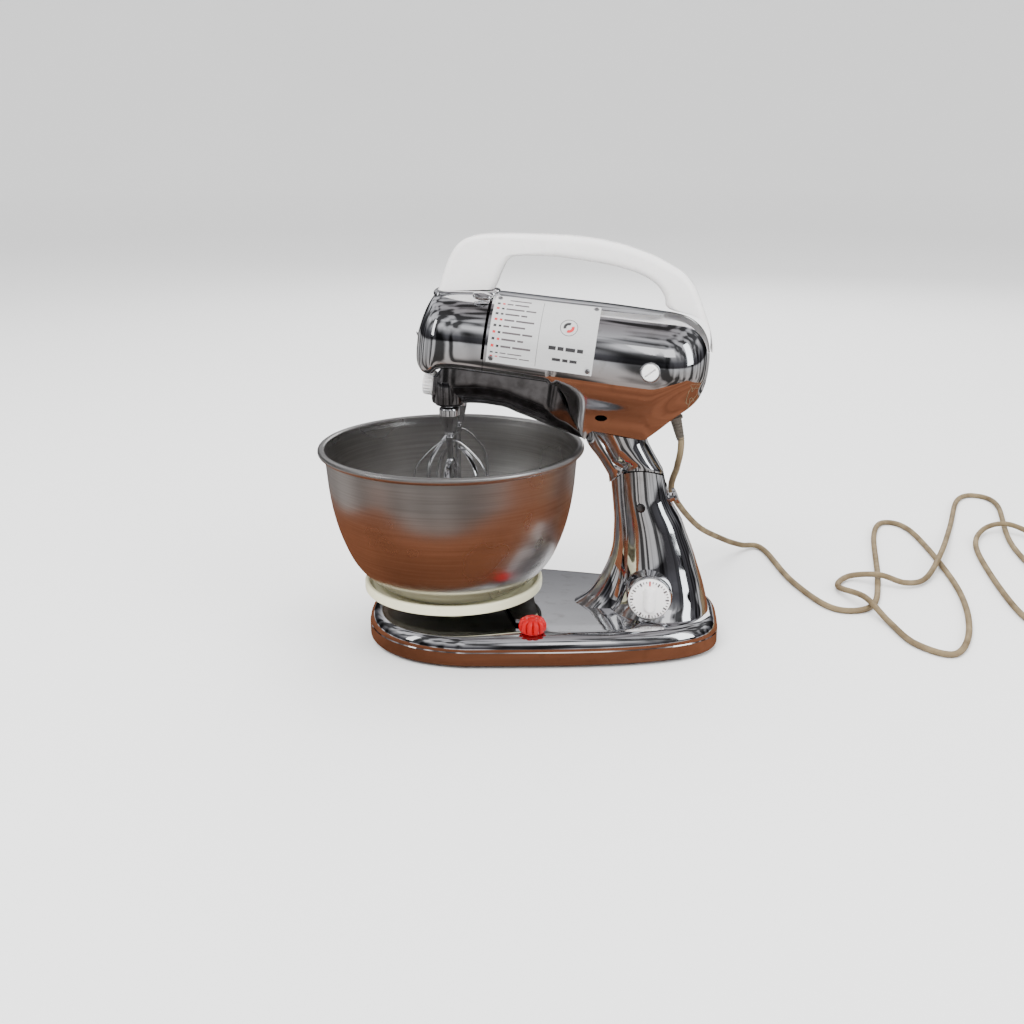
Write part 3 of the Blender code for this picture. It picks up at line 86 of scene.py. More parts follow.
TABLE_X, TABLE_Y = 60.0 - 60.0 * math.cos(math.radians(9.1)), -60.0 * math.sin(math.radians(9.1))
SPEED_TRAVEL_DEG = 62.0
BOWL_WALL = 1.2
CORD_RADIUS = 2.9
SHAFT_AXIS = (math.cos(MOTOR_ANGLE), 0.0, -math.sin(MOTOR_ANGLE))


def world(point):
    return Vector((point[0] + FRAME_X, point[1] + FRAME_Y, point[2])) * 0.001


def head_point(u, v, w):
    cos_tilt, sin_tilt = math.cos(MOTOR_ANGLE), math.sin(MOTOR_ANGLE)
    return (HEAD_ORIGIN_X + u * cos_tilt + w * sin_tilt, v, HEAD_ORIGIN_Z - u * sin_tilt + w * cos_tilt)


# ---------------------------------------------------------------- finishes
class Finish:
    """A Principled material with a small kit of procedural nodes."""

    def __init__(self, name, colour, roughness, metallic=0.0, **sockets):
        self.material = bpy.data.materials.new(name)
        self.material.use_nodes = True
        self.tree = self.material.node_tree
        self.shader = self.tree.nodes["Principled BSDF"]
        self.colour = colour
        self.set("Base Color", (*colour, 1.0))
        self.set("Roughness", roughness)
        self.set("Metallic", metallic)
        for socket, value in sockets.items():
            self.set(socket.replace("_", " "), value)

    def set(self, socket, value):
        self.shader.inputs[socket].default_value = value

    def link(self, source, target):
        self.tree.links.new(source, target)

    def node(self, kind, **settings):
        made = self.tree.nodes.new(kind)
        for key, value in settings.items():
            setattr(made, key, value)
        return made

    def coordinates(self, stretch=(1.0, 1.0, 1.0)):
        """Object coordinates in metres, scaled by stretch."""
        place = self.node("ShaderNodeTexCoord")
        mapping = self.node("ShaderNodeMapping")
        mapping.inputs["Scale"].default_value = stretch
        self.link(place.outputs["Object"], mapping.inputs["Vector"])
        return mapping.outputs["Vector"]

    def noise(self, scale, detail=4.0, stretch=(1.0, 1.0, 1.0), vector=None):
        texture = self.node("ShaderNodeTexNoise")
        texture.inputs["Scale"].default_value = scale
        texture.inputs["Detail"].default_value = detail
        self.link(vector or self.coordinates(stretch), texture.inputs["Vector"])
        return texture.outputs["Fac"]

    def ramp(self, factor, low, high, start=0.3, finish=0.7):
        """Numbers or colours between low and high as the factor goes from start to finish."""
        if isinstance(low, tuple):
            mix = self.node("ShaderNodeValToRGB")
            mix.color_ramp.elements[0].position = start
            mix.color_ramp.elements[0].color = (*low, 1.0)
            mix.color_ramp.elements[1].position = finish
            mix.color_ramp.elements[1].color = (*high, 1.0)
            self.link(factor, mix.inputs["Fac"])
            return mix.outputs["Color"]
        span = self.node("ShaderNodeMapRange")
        for socket, value in (("From Min", start), ("From Max", finish), ("To Min", low), ("To Max", high)):
            span.inputs[socket].default_value = value
        self.link(factor, span.inputs["Value"])
        return span.outputs["Result"]

    def bump(self, height, strength, distance):
        bump = self.node("ShaderNodeBump")
        bump.inputs["Strength"].default_value = strength
        bump.inputs["Distance"].default_value = distance
        self.link(height, bump.inputs["Height"])
        previous = self.shader.inputs["Normal"].links
        if previous:
            self.link(previous[0].from_socket, bump.inputs["Normal"])
        self.link(bump.outputs["Normal"], self.shader.inputs["Normal"])

    def drive(self, socket, output):
        self.link(output, self.shader.inputs[socket])


def chrome_finish():
    """Bright plate with faint waviness, wipe haze and fine pitting."""
    f = Finish("chrome", (0.66, 0.66, 0.675), 0.05, 1.0)
    f.drive("Roughness", f.ramp(f.noise(26.0, 6.0), 0.035, 0.12, 0.45, 0.8))
    f.drive("Base Color", f.ramp(f.noise(90.0, 8.0), (0.70, 0.70, 0.715), (0.52, 0.51, 0.50), 0.55, 0.85))
    f.bump(f.noise(22.0, 1.0), 0.25, 0.0006)
    f.bump(f.noise(1400.0, 3.0), 0.03, 0.0001)
    return f.material


def brushed_finish(name, colour, roughness, stretch, scale, anisotropic=0.0, metallic=1.0):
    """Metal with drawn lines: noise squeezed across the grain."""
    f = Finish(name, colour, roughness, metallic)
    lines = f.noise(scale, 6.0, stretch)
    f.drive("Roughness", f.ramp(lines, roughness * 0.75, roughness * 1.3, 0.3, 0.7))
    darker = tuple(c * 0.86 for c in colour)
    f.drive("Base Color", f.ramp(lines, darker, colour, 0.25, 0.7))
    f.bump(lines, 0.12, 0.00012)
    if anisotropic:
        f.set("Anisotropic", anisotropic)
        tangent = f.node("ShaderNodeTangent", direction_type="RADIAL", axis="Z")
        f.link(tangent.outputs["Tangent"], f.shader.inputs["Tangent"])
    return f.material


def bowl_finish():
    """Stainless steel spun on a lathe: rings about the bowl's axis, with scuffs."""
    f = Finish("bowl_steel", (0.64, 0.62, 0.60), 0.24, 1.0)
    f.set("Anisotropic", 0.75)
    tangent = f.node("ShaderNodeTangent", direction_type="RADIAL", axis="Z")
    f.link(tangent.outputs["Tangent"], f.shader.inputs["Tangent"])
    rings = f.noise(14.0, 3.0, (1.0, 1.0, 45.0))
    haze = f.noise(11.0, 3.0)
    f.drive("Roughness", f.ramp(haze, 0.24, 0.34, 0.2, 0.8))
    f.drive("Base Color", f.ramp(rings, (0.50, 0.485, 0.47), (0.70, 0.685, 0.67), 0.15, 0.85))
    return f.material


def plastic_finish(name, colour, roughness, mottling=0.05, grain=0.02, soft=0.0):
    """Moulded plastic: slight mottling, uneven gloss and a fine skin."""
    f = Finish(name, colour, roughness, 0.0)
    if soft:
        f.set("Subsurface Weight", soft)
        f.set("Subsurface Radius", (0.004, 0.003, 0.002))
    worn = tuple(c * (1.0 - mottling) for c in colour)
    f.drive("Base Color", f.ramp(f.noise(38.0, 6.0), worn, colour, 0.25, 0.7))
    f.drive("Roughness", f.ramp(f.noise(70.0, 5.0), roughness * 0.8, roughness * 1.35, 0.3, 0.75))
    f.bump(f.noise(900.0, 3.0), grain * 3, 0.0001)
    return f.material


def enamel_finish():
    """Black nickel plating, glossy with a soft haze."""
    f = Finish("dark_plate", (0.15, 0.145, 0.15), 0.12, 1.0)
    f.drive("Roughness", f.ramp(f.noise(45.0, 6.0), 0.07, 0.22, 0.35, 0.75))
    f.drive("Base Color", f.ramp(f.noise(120.0, 6.0), (0.19, 0.185, 0.19), (0.08, 0.075, 0.075), 0.4, 0.8))
    f.bump(f.noise(160.0, 4.0), 0.10, 0.0002)
    return f.material


def winding_finish():
    """Lacquered copper wire laid side by side."""
    f = Finish("copper_winding", (0.62, 0.28, 0.14), 0.35, 1.0)
    wave = f.node("ShaderNodeTexWave", wave_type="RINGS", rings_direction="X")
    wave.inputs["Scale"].default_value = 330.0
    wave.inputs["Distortion"].default_value = 1.5
    f.link(f.coordinates(), wave.inputs["Vector"])
    f.drive("Base Color", f.ramp(wave.outputs["Fac"], (0.30, 0.12, 0.06), (0.72, 0.34, 0.17), 0.1, 0.8))
    f.bump(wave.outputs["Fac"], 0.5, 0.0005)
    return f.material


def cord_finish():
    """Old rubber flex: dusty, faintly twisted and scuffed."""
    f = Finish("flex_rubber", (0.17, 0.125, 0.065), 0.62)
    f.drive("Base Color", f.ramp(f.noise(55.0, 8.0), (0.115, 0.08, 0.04), (0.22, 0.165, 0.09), 0.3, 0.7))
    f.drive("Roughness", f.ramp(f.noise(120.0, 5.0), 0.5, 0.8, 0.3, 0.7))
    f.bump(f.noise(700.0, 4.0), 0.35, 0.0003)
    return f.material


def turntable_finish():
    """Ivory moulding, dull, with painted shade on its hidden underside: faces turned down are coloured
    near-black.
    """
    material = plastic_finish("ivory_plastic", (0.78, 0.75, 0.52), 0.34, 0.07, 0.03, 0.05)
    tree = material.node_tree
    shader = tree.nodes["Principled BSDF"]
    top_colour = shader.inputs["Base Color"].links[0].from_socket
    # Painted shade: faces whose object normal points down (z below -0.6) get the near-black colour (0.085,
    # 0.082, 0.062) in place of the ivory.
    place = tree.nodes.new("ShaderNodeTexCoord")
    split = tree.nodes.new("ShaderNodeSeparateXYZ")
    below = tree.nodes.new("ShaderNodeMath")
    below.operation = "LESS_THAN"
    below.inputs[1].default_value = -0.6
    mix = tree.nodes.new("ShaderNodeMixRGB")
    mix.inputs["Color2"].default_value = (0.085, 0.082, 0.062, 1.0)
    tree.links.new(place.outputs["Normal"], split.inputs["Vector"])
    tree.links.new(split.outputs["Z"], below.inputs[0])
    tree.links.new(below.outputs["Value"], mix.inputs["Fac"])
    tree.links.new(top_colour, mix.inputs["Color1"])
    tree.links.new(mix.outputs["Color"], shader.inputs["Base Color"])
    return material


FINISHES = {
    "chrome": chrome_finish(),
    "stainless": bowl_finish(),
    "dark_enamel": enamel_finish(),
    "steel": brushed_finish("machined_steel", (0.50, 0.50, 0.51), 0.34, (1.0, 1.0, 14.0), 220.0),
    "copper": winding_finish(),
    "bronze": brushed_finish("bronze", (0.58, 0.42, 0.20), 0.36, (1.0, 1.0, 10.0), 260.0),
    "carbon": plastic_finish("carbon", (0.045, 0.045, 0.047), 0.6, 0.4, 0.2),
    "white_plastic": plastic_finish("white_plastic", (0.84, 0.82, 0.81), 0.26, 0.035, 0.02, 0.06),
    "ivory_plastic": turntable_finish(),
    "red_plastic": plastic_finish("red_plastic", (0.42, 0.002, 0.006), 0.22, 0.15, 0.02),
    "aluminium": brushed_finish("plate_aluminium", (0.66, 0.66, 0.655), 0.42, (1.0, 30.0, 30.0), 120.0, 0.0,
                                0.35),
    "rubber": plastic_finish("rubber", (0.085, 0.070, 0.055), 0.7, 0.35, 0.3),
    "khaki_rubber": cord_finish(),
    "black_print": plastic_finish("black_print", (0.035, 0.033, 0.035), 0.45, 0.2, 0.02),
    "red_print": plastic_finish("red_print", (0.55, 0.03, 0.035), 0.45, 0.15, 0.02),
    "grey_print": plastic_finish("grey_print", (0.10, 0.085, 0.09), 0.5, 0.15, 0.02),
}


# ---------------------------------------------------------------- mesh kit
def make_mesh(name, verts, faces):
    mesh = bpy.data.meshes.new(name)
    mesh.from_pydata([world(v) for v in verts], [], faces)
    bm = bmesh.new()
    bm.from_mesh(mesh)
    bmesh.ops.remove_doubles(bm, verts=bm.verts, dist=1e-6)
    bmesh.ops.dissolve_degenerate(bm, edges=bm.edges, dist=1e-7)
    bmesh.ops.recalc_face_normals(bm, faces=bm.faces)
    bm.to_mesh(mesh)
    bm.free()
    return mesh


def make_piece(name, shape, slot, body, replaced=(), angle=32.0, finish=None):
    """A visible piece that rides on a body and stands for the CAD nodes it replaces."""
    obj = bpy.data.objects.new(name, make_mesh(name, *shape))
    bpy.context.collection.objects.link(obj)
    obj.data.materials.append(FINISHES[finish or slot])
    smooth(obj, angle)
    if body:
        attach(obj, body)
    if replaced:
        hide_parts(*replaced)
    return obj


def smooth(obj, angle):
    obj.data.shade_smooth()
    obj.data.set_sharp_from_angle(angle=math.radians(angle))


def carve(obj, shape, operation="DIFFERENCE", angle=32.0):
    """Adds or cuts a shape at once, so the edges it leaves can be marked sharp."""
    tool = bpy.data.objects.new("tool", make_mesh("tool", *shape))
    bpy.context.collection.objects.link(tool)
    modifier = obj.modifiers.new("carve", "BOOLEAN")
    modifier.operation = operation
    modifier.object = tool
    depsgraph = bpy.context.evaluated_depsgraph_get()
    carved = bpy.data.meshes.new_from_object(obj.evaluated_get(depsgraph))
    obj.modifiers.clear()
    obj.data = carved
    bpy.data.objects.remove(tool, do_unlink=True)
    smooth(obj, angle)


def add_bevel(obj, width, segments=3, angle=35.0):
    bevel = obj.modifiers.new("soft_edges", "BEVEL")
    bevel.width = width * 0.001
    bevel.segments = segments
    bevel.limit_method = "ANGLE"
    bevel.angle_limit = math.radians(angle)
    bevel.harden_normals = True


def curve_value(x, knots):
    """Smooth height of a curve through (x, y) knots, flat beyond its ends and free of overshoot."""
    if x <= knots[0][0]:
        return knots[0][1]
    if x >= knots[-1][0]:
        return knots[-1][1]
    count = len(knots)
    slopes = [(knots[i + 1][1] - knots[i][1]) / (knots[i + 1][0] - knots[i][0]) for i in range(count - 1)]
    tangents = [slopes[0]]
    for before, after in zip(slopes, slopes[1:]):
        tangents.append(2 * before * after / (before + after) if before * after > 0 else 0.0)
    tangents.append(slopes[-1])
    i = max(k for k in range(count - 1) if knots[k][0] <= x)
    span = knots[i + 1][0] - knots[i][0]
    t = (x - knots[i][0]) / span
    rise = knots[i + 1][1] - knots[i][1]
    start, finish = tangents[i] * span, tangents[i + 1] * span
    return (knots[i][1] + start * t + (3 * rise - 2 * start - finish) * t ** 2
            + (start + finish - 2 * rise) * t ** 3)


def spline(points, steps):
    """Catmull-Rom curve through points of any dimension, steps pieces to each span."""
    made = []
    for i in range(len(points) - 1):
        p0, p1 = points[max(i - 1, 0)], points[i]
        p2, p3 = points[i + 1], points[min(i + 2, len(points) - 1)]
        for k in range(steps):
            t = k / steps
            made.append(tuple(0.5 * (2 * b + (c - a) * t + (2 * a - 5 * b + 4 * c - d) * t ** 2
                                     + (3 * b - a - 3 * c + d) * t ** 3)
                              for a, b, c, d in zip(p0, p1, p2, p3)))
    made.append(tuple(points[-1]))
    return made


def bezier(p0, p1, p2, p3, t):
    s = 1 - t
    return tuple(s ** 3 * a + 3 * s * s * t * b + 3 * s * t * t * c + t ** 3 * d
                 for a, b, c, d in zip(p0, p1, p2, p3))


def loft(rings, caps=(True, True)):
    size = len(rings[0])
    verts = [p for ring in rings for p in ring]
    faces = []
    for k in range(len(rings) - 1):
        for i in range(size):
            j = (i + 1) % size
            faces.append((k * size + i, k * size + j, (k + 1) * size + j, (k + 1) * size + i))
    if caps[0]:
        faces.append(tuple(range(size)))
    if caps[1]:
        faces.append(tuple((len(rings) - 1) * size + i for i in range(size)))
    return verts, faces


def turned(profile, steps, closed=False):
    """Solid of revolution about +z from (radius, height) points."""
    verts, index = [], []
    for radius, height in profile:
        if radius < 1e-6:
            index.append([len(verts)] * steps)
            verts.append((0.0, 0.0, height))
            continue
        index.append([len(verts) + k for k in range(steps)])
        for k in range(steps):
            angle = 2 * math.pi * k / steps
            verts.append((radius * math.cos(angle), radius * math.sin(angle), height))
    faces = []
    pairs = list(zip(index, index[1:]))
    if closed:
        pairs.append((index[-1], index[0]))
    for lower, upper in pairs:
        for k in range(steps):
            j = (k + 1) % steps
            corners = [lower[k], lower[j], upper[j], upper[k]]
            face = [c for n, c in enumerate(corners) if c not in corners[:n]]
            if len(face) > 2:
                faces.append(tuple(face))
    return verts, faces


def rounded(profile, radius, steps=4):
    """The profile with each inner corner replaced by a small arc-like curve."""
    made = [profile[0]]
    for before, corner, after in zip(profile, profile[1:], profile[2:]):
        a, b, c = Vector(before), Vector(corner), Vector(after)
        reach = min(radius, (a - b).length * 0.45, (c - b).length * 0.45)
        start = b + (a - b).normalized() * reach
        finish = b + (c - b).normalized() * reach
        for k in range(steps + 1):
            t = k / steps
            point = start * (1 - t) ** 2 + b * 2 * t * (1 - t) + finish * t ** 2
            made.append((max(point.x, 0.0), point.y))
    made.append(profile[-1])
    return made


def placed(shape, origin, axis=(0.0, 0.0, 1.0), spin=0.0):
    verts, faces = shape
    turn = Vector((0.0, 0.0, 1.0)).rotation_difference(Vector(axis).normalized()).to_matrix()
    cos_spin, sin_spin = math.cos(spin), math.sin(spin)
    spun = [(x * cos_spin - y * sin_spin, x * sin_spin + y * cos_spin, z) for x, y, z in verts]
    return [tuple(turn @ Vector(p) + Vector(origin)) for p in spun], faces


def joined(*shapes):
    verts, faces = [], []
    for part_verts, part_faces in shapes:
        start = len(verts)
        verts.extend(part_verts)
        faces.extend(tuple(start + i for i in face) for face in part_faces)
    return verts, faces


def prism(outline, low, high, lift):
    return loft([[lift(p, low) for p in outline], [lift(p, high) for p in outline]])


def about_shaft(profile, steps, closed=False):
    return placed(turned(profile, steps, closed), (HEAD_ORIGIN_X, 0.0, HEAD_ORIGIN_Z), SHAFT_AXIS)


# ---------------------------------------------------------------- stand
def base_outline(inset, per_quarter=34):
    front_power, rear_power = 2.3, 3.5
    front_length = BASE_WIDEST_X - BASE_NOSE_X
    rear_length = BASE_REAR_X - BASE_WIDEST_X
    points = []
    for k in range(per_quarter):
        t = math.pi / 2 * k / per_quarter
        x = BASE_WIDEST_X - front_length * math.cos(t) ** (2 / front_power)
        points.append((x, BASE_HALF_WIDTH * math.sin(t) ** (2 / front_power)))
    for k in range(per_quarter + 1):
        t = math.pi / 2 * k / per_quarter
        reach = math.sin(t) ** (2 / rear_power)
        width = (BASE_HALF_WIDTH - BASE_TAPER * rear_length * reach) * max(math.cos(t),
                                                                           0.0) ** (2 / rear_power)
        points.append((BASE_WIDEST_X + rear_length * reach, width))
    ring = points + [(x, -y) for x, y in reversed(points[1:-1])]
    moved = []
    for i, (x, y) in enumerate(ring):
        before, after = ring[i - 1], ring[(i + 1) % len(ring)]
        along = Vector((after[0] - before[0], after[1] - before[1])).normalized()
        moved.append((x + along.y * inset, y - along.x * inset))
    return moved


COLUMN_FRONT = [(26, 104), (30, 111), (40, 124), (55, 134), (74, 142), (89, 145), (108, 145.5), (132, 143.5),
                (145, 142)]
COLUMN_REAR = [(26, 233), (39, 230), (54, 226), (69, 221), (84, 216), (99, 210), (110, 206), (124, 198),
               (140, 191), (153, 186)]
COLUMN_HALF_WIDTH = [(26, 48), (30, 46), (40, 40), (55, 35), (75, 30), (110, 25), (145, 21), (165, 20)]
COLUMN_RIB = [(26, 20), (40, 15), (70, 12), (145, 12)]
COLUMN_GROOVE = [(26, 142), (30, 146), (40, 153), (60, 158), (96, 158), (117, 156), (134, 154), (150, 152)]


def column_section(front, groove, rear, half_width, rib, depth=0.30, rib_steps=14, body_steps=30):
    """Half outline of the column: a round rib in front, a deep groove, then the broad oval body."""
    body_front = groove - 3.0
    middle, reach = (body_front + rear) / 2, (rear - body_front) / 2
    points = []
    for k in range(rib_steps + 1):
        t = math.pi / 2 * k / rib_steps
        points.append((front + (groove - front) * 0.72 * (1 - math.cos(t)), rib * math.sin(t)))
    points.append((groove - 1.6, rib * (1 - depth * 0.55)))
    points.append((groove - 0.5, rib * (1 - depth)))
    points.append((groove + 0.4, rib * (1 - depth * 0.8)))
    start = math.acos((middle - groove - 0.8) / reach)
    for k in range(body_steps + 1):
        t = start + (math.pi - start) * k / body_steps
        points.append((middle - reach * math.cos(t),
                       half_width * math.sin(t) ** 0.8 if k < body_steps else 0.0))
    return points


def mirrored_ring(half, lift):
    return [lift(x, y) for x, y in half] + [lift(x, -y) for x, y in reversed(half[1:-1])]


def strip_cap(ring_start, size):
    half = size // 2
    faces = [(ring_start, ring_start + 1, ring_start + size - 1)]
    for i in range(1, half - 1):
        faces.append((ring_start + i, ring_start + i + 1, ring_start + size - i - 1, ring_start + size - i))
    faces.append((ring_start + half - 1, ring_start + half, ring_start + half + 1))
    return faces


def hinge_arc(radius, start_deg, finish_deg, steps):
    points = []
    for k in range(steps + 1):
        angle = math.radians(start_deg + (finish_deg - start_deg) * k / steps)
        points.append((HINGE_X + radius * math.cos(angle), HINGE_Z + radius * math.sin(angle)))
    return points


def dome_height(x, radius):
    return HINGE_Z + math.sqrt(max(radius ** 2 - (x - HINGE_X) ** 2, 0.0))


def build_stand():
    rings = [[(x, y, BASE_BOTTOM_Z) for x, y in base_outline(1.0)]]
    rings.append([(x, y, BASE_BOTTOM_Z + 1.0) for x, y in base_outline(0.0)])
    rings.append([(x, y, BASE_SKIRT_TOP_Z - 0.8) for x, y in base_outline(0.0)])
    steps = 14
    for k in range(steps + 1):
        angle = math.pi / 2 * k / steps
        inset = 0.5 + (BASE_SHOULDER - 0.5) * (1 - math.cos(angle))
        level = BASE_SKIRT_TOP_Z + (BASE_TOP_Z - BASE_SKIRT_TOP_Z) * math.sin(angle)
        rings.append([(x, y, level) for x, y in base_outline(inset)])
    stand = make_piece("stand_shell", loft(rings), "chrome", "stand", ["stand_casting"], 28.0)

    column = []
    levels = [26 + 2.0 * k for k in range(14)] + [56 + 6.0 * k for k in range(14)]
    for level in levels:
        half = column_section(curve_value(level, COLUMN_FRONT), curve_value(level, COLUMN_GROOVE),
                              curve_value(level, COLUMN_REAR), curve_value(level, COLUMN_HALF_WIDTH),
                              curve_value(level, COLUMN_RIB), curve_value(level, [(26, 0.05), (55, 0.3)]))
        column.append(mirrored_ring(half, lambda x, y, z=level: (x, y,
                                                                 min(z, dome_height(x, COLUMN_TOP_RADIUS)))))
    half = column_section(curve_value(145, COLUMN_FRONT), curve_value(145, COLUMN_GROOVE),
                          curve_value(145, COLUMN_REAR), curve_value(145, COLUMN_HALF_WIDTH),
                          curve_value(145, COLUMN_RIB))
    column.append(mirrored_ring(half, lambda x, y: (x, y, dome_height(x, COLUMN_TOP_RADIUS))))
    verts, faces = loft(column, caps=(True, False))
    faces += strip_cap((len(column) - 1) * len(column[0]), len(column[0]))
    carve(stand, (verts, faces), "UNION", 28.0)
    boss = rounded([(0, 0), (DIAL_RADIUS + 3.0, 0), (DIAL_RADIUS + 1.6, 20), (DIAL_RADIUS + 0.6, 22),
                    (0, 22)], 1.0)
    carve(stand, placed(turned(boss, 72), (DIAL_X, DIAL_FACE_Y + 22.0, DIAL_Z), (0, -1, 0)), "UNION", 28.0)
    outline = hinge_arc(TONGUE_EYE_RADIUS + 1.0, 114.0, 114.0 - 36.0 - TILT_LIMIT_DEG - 2.0 + 360.0, 28)
    outline += hinge_arc(46.0, 114.0 - 36.0 - TILT_LIMIT_DEG - 2.0, 114.0, 6)
    width = TONGUE_HALF_WIDTH + 1.0
    carve(stand, prism(outline, -width, width, lambda p, y: (p[0], y, p[1])), angle=28.0)
    hinge = placed(turned([(0, 0), (4.1, 0), (4.1, 60), (0, 60)], 28), (HINGE_X, -30.0, HINGE_Z), (0, 1, 0))
    carve(stand, hinge, angle=28.0)

    pin = rounded([(0, -22.6), (3.6, -22.6), (3.7, -20), (3.7, 20), (3.6, 22.6), (0, 22.6)], 0.5)
    make_piece("hinge_pin_turned", placed(turned(pin, 32), (HINGE_X, 0.0, HINGE_Z), (0, 1, 0)), "dark_enamel",
               "stand", ["hinge_pin"])
    foot = rounded([(0, 0), (7.5, 0), (8.4, 3.0), (8.2, 3.9), (0, 3.9)], 0.6)
    for name, x, y in (("foot_front_near", -38, -62), ("foot_front_far", -38, 62),
                       ("foot_rear_near", 205, -42), ("foot_rear_far", 205, 42)):
        make_piece("pad_" + name, placed(turned(foot, 36), (x, y, 0.0)), "rubber", "stand", [name])


def dial_marks(radius_in, radius_out, width, angles, depth):
    """Short bars set round the dial's face."""
    shapes = []
    for angle in angles:
        out = Vector((math.cos(angle), math.sin(angle)))
        side = Vector((-out.y, out.x)) * width / 2
        corners = [out * radius_in - side, out * radius_out - side, out * radius_out + side,
                   out * radius_in + side]
        shapes.append(loft([[(DIAL_X + c.x, DIAL_FACE_Y - level, DIAL_Z + c.y) for c in corners]
                            for level in (depth, depth + 0.18)]))
    return joined(*shapes)


def build_dial():
    r = DIAL_RADIUS
    disc = rounded([(0, 0.4), (r - 0.8, 0.4), (r, 1.4), (r, 3.2), (r - 1.4, 4.4), (0, 4.4)], 0.7)
    make_piece("dial_disc", placed(turned(disc, 96), (DIAL_X, DIAL_FACE_Y, DIAL_Z), (0, -1, 0)),
               "white_plastic",
               "timer_dial", ["timer_dial"])
    rings = []
    for half_width, half_length, depth in ((5.6, 11.8, 4.2), (5.4, 11.6, 4.8), (4.4, 11.2, 6.4),
                                           (2.4, 10.7, 8.2),
                                           (0.7, 10.3, 8.6)):
        ring = []
        for k in range(48):
            angle = 2 * math.pi * k / 48
            c, s = math.cos(angle), math.sin(angle)
            ring.append((DIAL_X + half_width * math.copysign(abs(c) ** 0.5, c), DIAL_FACE_Y - depth,
                         DIAL_Z + half_length * math.copysign(abs(s) ** 0.45, s)))
        rings.append(ring)
    make_piece("dial_grip", loft(rings), "white_plastic", "timer_dial", angle=50.0)
    small = [math.radians(90 - 10 * k) for k in range(1, 36) if k % 3]
    large = [math.radians(90 - 30 * k) for k in range(12)]
    make_piece("dial_ticks", dial_marks(15.0, 17.0, 0.8, small, 4.4), "white_plastic", "timer_dial",
               finish="grey_print")
    make_piece("dial_bars", dial_marks(13.9, 17.1, 1.5, large, 4.4), "white_plastic", "timer_dial",
               finish="grey_print")
    make_piece("dial_start", dial_marks(12.6, 16.8, 1.4, [math.radians(90)], 4.45), "white_plastic",
               "timer_dial",
               finish="red_print")


def build_shift_knob():
    """A round knob with deep petals that run over its shoulder towards the middle."""
    petals, steps = 11, 154
    rings = []
    for radius, depth, height in ((8.6, 0.0, 31.2), (9.4, 0.6, 31.3), (10.8, 2.0, 32.2), (11.8, 3.0, 33.8),
                                  (12.1, 3.4, 35.8), (12.1, 3.4, 38.0), (11.6, 3.3, 40.2), (10.6, 3.0, 41.8),
                                  (9.2, 2.4, 43.0), (7.6, 1.6, 43.7), (6.2, 0.8, 43.9), (5.0, 0.2, 43.6),
                                  (4.4, 0.0, 43.2), (3.8, 0.0, 43.9), (2.4, 0.0, 44.2)):
        ring = []
        for k in range(steps):
            angle = 2 * math.pi * k / steps
            r = radius - depth * (1 - abs(math.cos(petals * angle / 2)) ** 0.55)
            ring.append((KNOB_X + r * math.cos(angle), KNOB_Y + r * math.sin(angle), height))
        rings.append(ring)
    make_piece("fluted_knob", loft(rings), "red_plastic", "shift_arm", ["shift_knob"], 60.0)


# ---------------------------------------------------------------- bowl and turntable
BOWL_SIDE = [(54.0, 47.8), (59.0, 48.6), (66.0, 52.6), (73.0, 57.5), (78.5, 62.6), (85.5, 70.0), (92.5, 81.0),
             (100.2, 100.0), (105.6, 120.0), (108.8, 140.0), (110.4, 158.0), (111.6, 171.0)]


def build_bowl():
    side = spline([(48.0, 47.8)] + BOWL_SIDE, 5)
    bead = []
    for k in range(25):
        angle = math.radians(-100 + 290 * k / 24)
        bead.append((114.5 + 3.0 * math.cos(angle), 175.5 + 3.0 * math.sin(angle)))
    inner = [(r - BOWL_WALL * 0.9, z + BOWL_WALL * 0.7) for r, z in reversed(side)]
    profile = [(0.0, 48.2), (30.0, 48.0)] + side + bead + inner + [(0.0, 48.9)]
    make_piece("spun_bowl", placed(turned(profile, 180), (TABLE_X, TABLE_Y, 0)), "stainless", "turntable",
               ["bowl"], 40.0)

    r = TURNTABLE_RADIUS
    plate = [(0, 43.6), (4.5, 43.6), (4.5, 38.3), (12, 38.3), (13, 43.6), (64, 44.2), (74, 46.6),
             (r - 3.0, 47.2),
             (r - 2.4, 46.0), (r - 0.3, 46.0), (r, 47.2), (r, 53.0), (r - 0.8, 54.6), (r - 3.4, 54.6),
             (r - 5.0, 53.0),
             (r - 7.0, 50.6), (67, 49.0), (63, 47.45), (0, 47.4)]
    shape = placed(turned(rounded(plate, 1.0, 4), 144), (TABLE_X, TABLE_Y, 0))
    make_piece("turntable_moulding", shape, "ivory_plastic", "turntable", ["turntable"], 40.0)


# ---------------------------------------------------------------- head shells
HEAD_TOP = [(-62.8, -4), (-62.2, 2), (-60.9, 9), (-59.0, 18), (-56.4, 26), (-51.4, 34.5), (-42, 38.2),
            (-25, 41),
            (0, 43), (54, 44), (105, 44.9), (144, 44.6)]
HEAD_SIDE = [(-62.8, 4), (-62.2, 13), (-60.9, 20), (-59.0, 26), (-56.4, 31), (-51.4, 36.5), (-42, 41.5),
             (-25, 45),
             (0, 46), (105, 47), (144, 46)]
NOSE_SILL = [(-62.8, -9), (-62.2, -15), (-60.9, -20), (-59.0, -24), (-56.4, -27), (-51.4, -30), (-46, -30.5),
             (-38, -24), (-25, -22), (0, -21.5)]
SKIRT_EDGE = [(0, -21.5), (58, -22), (64, -24), (70, -30), (74.2, -38), (77, -47), (84, -59.5), (91, -70),
              (92.6, -71.5), (95.5, -62.5), (100, -62.2), (144, -64.2)]
HEAD_BOTTOM = [(144, -64.4), (155, -53.2), (166.4, -41.0), (176, -32.5), (183, -24), (186.6, -15), (188, -9)]


def rear_fraction(u):
    reach = min(max((u - HEAD_REAR_START_U) / HEAD_REAR_LENGTH, 0.0), 0.9985)
    return (1 - reach ** 2.7) ** (1 / 2.7)


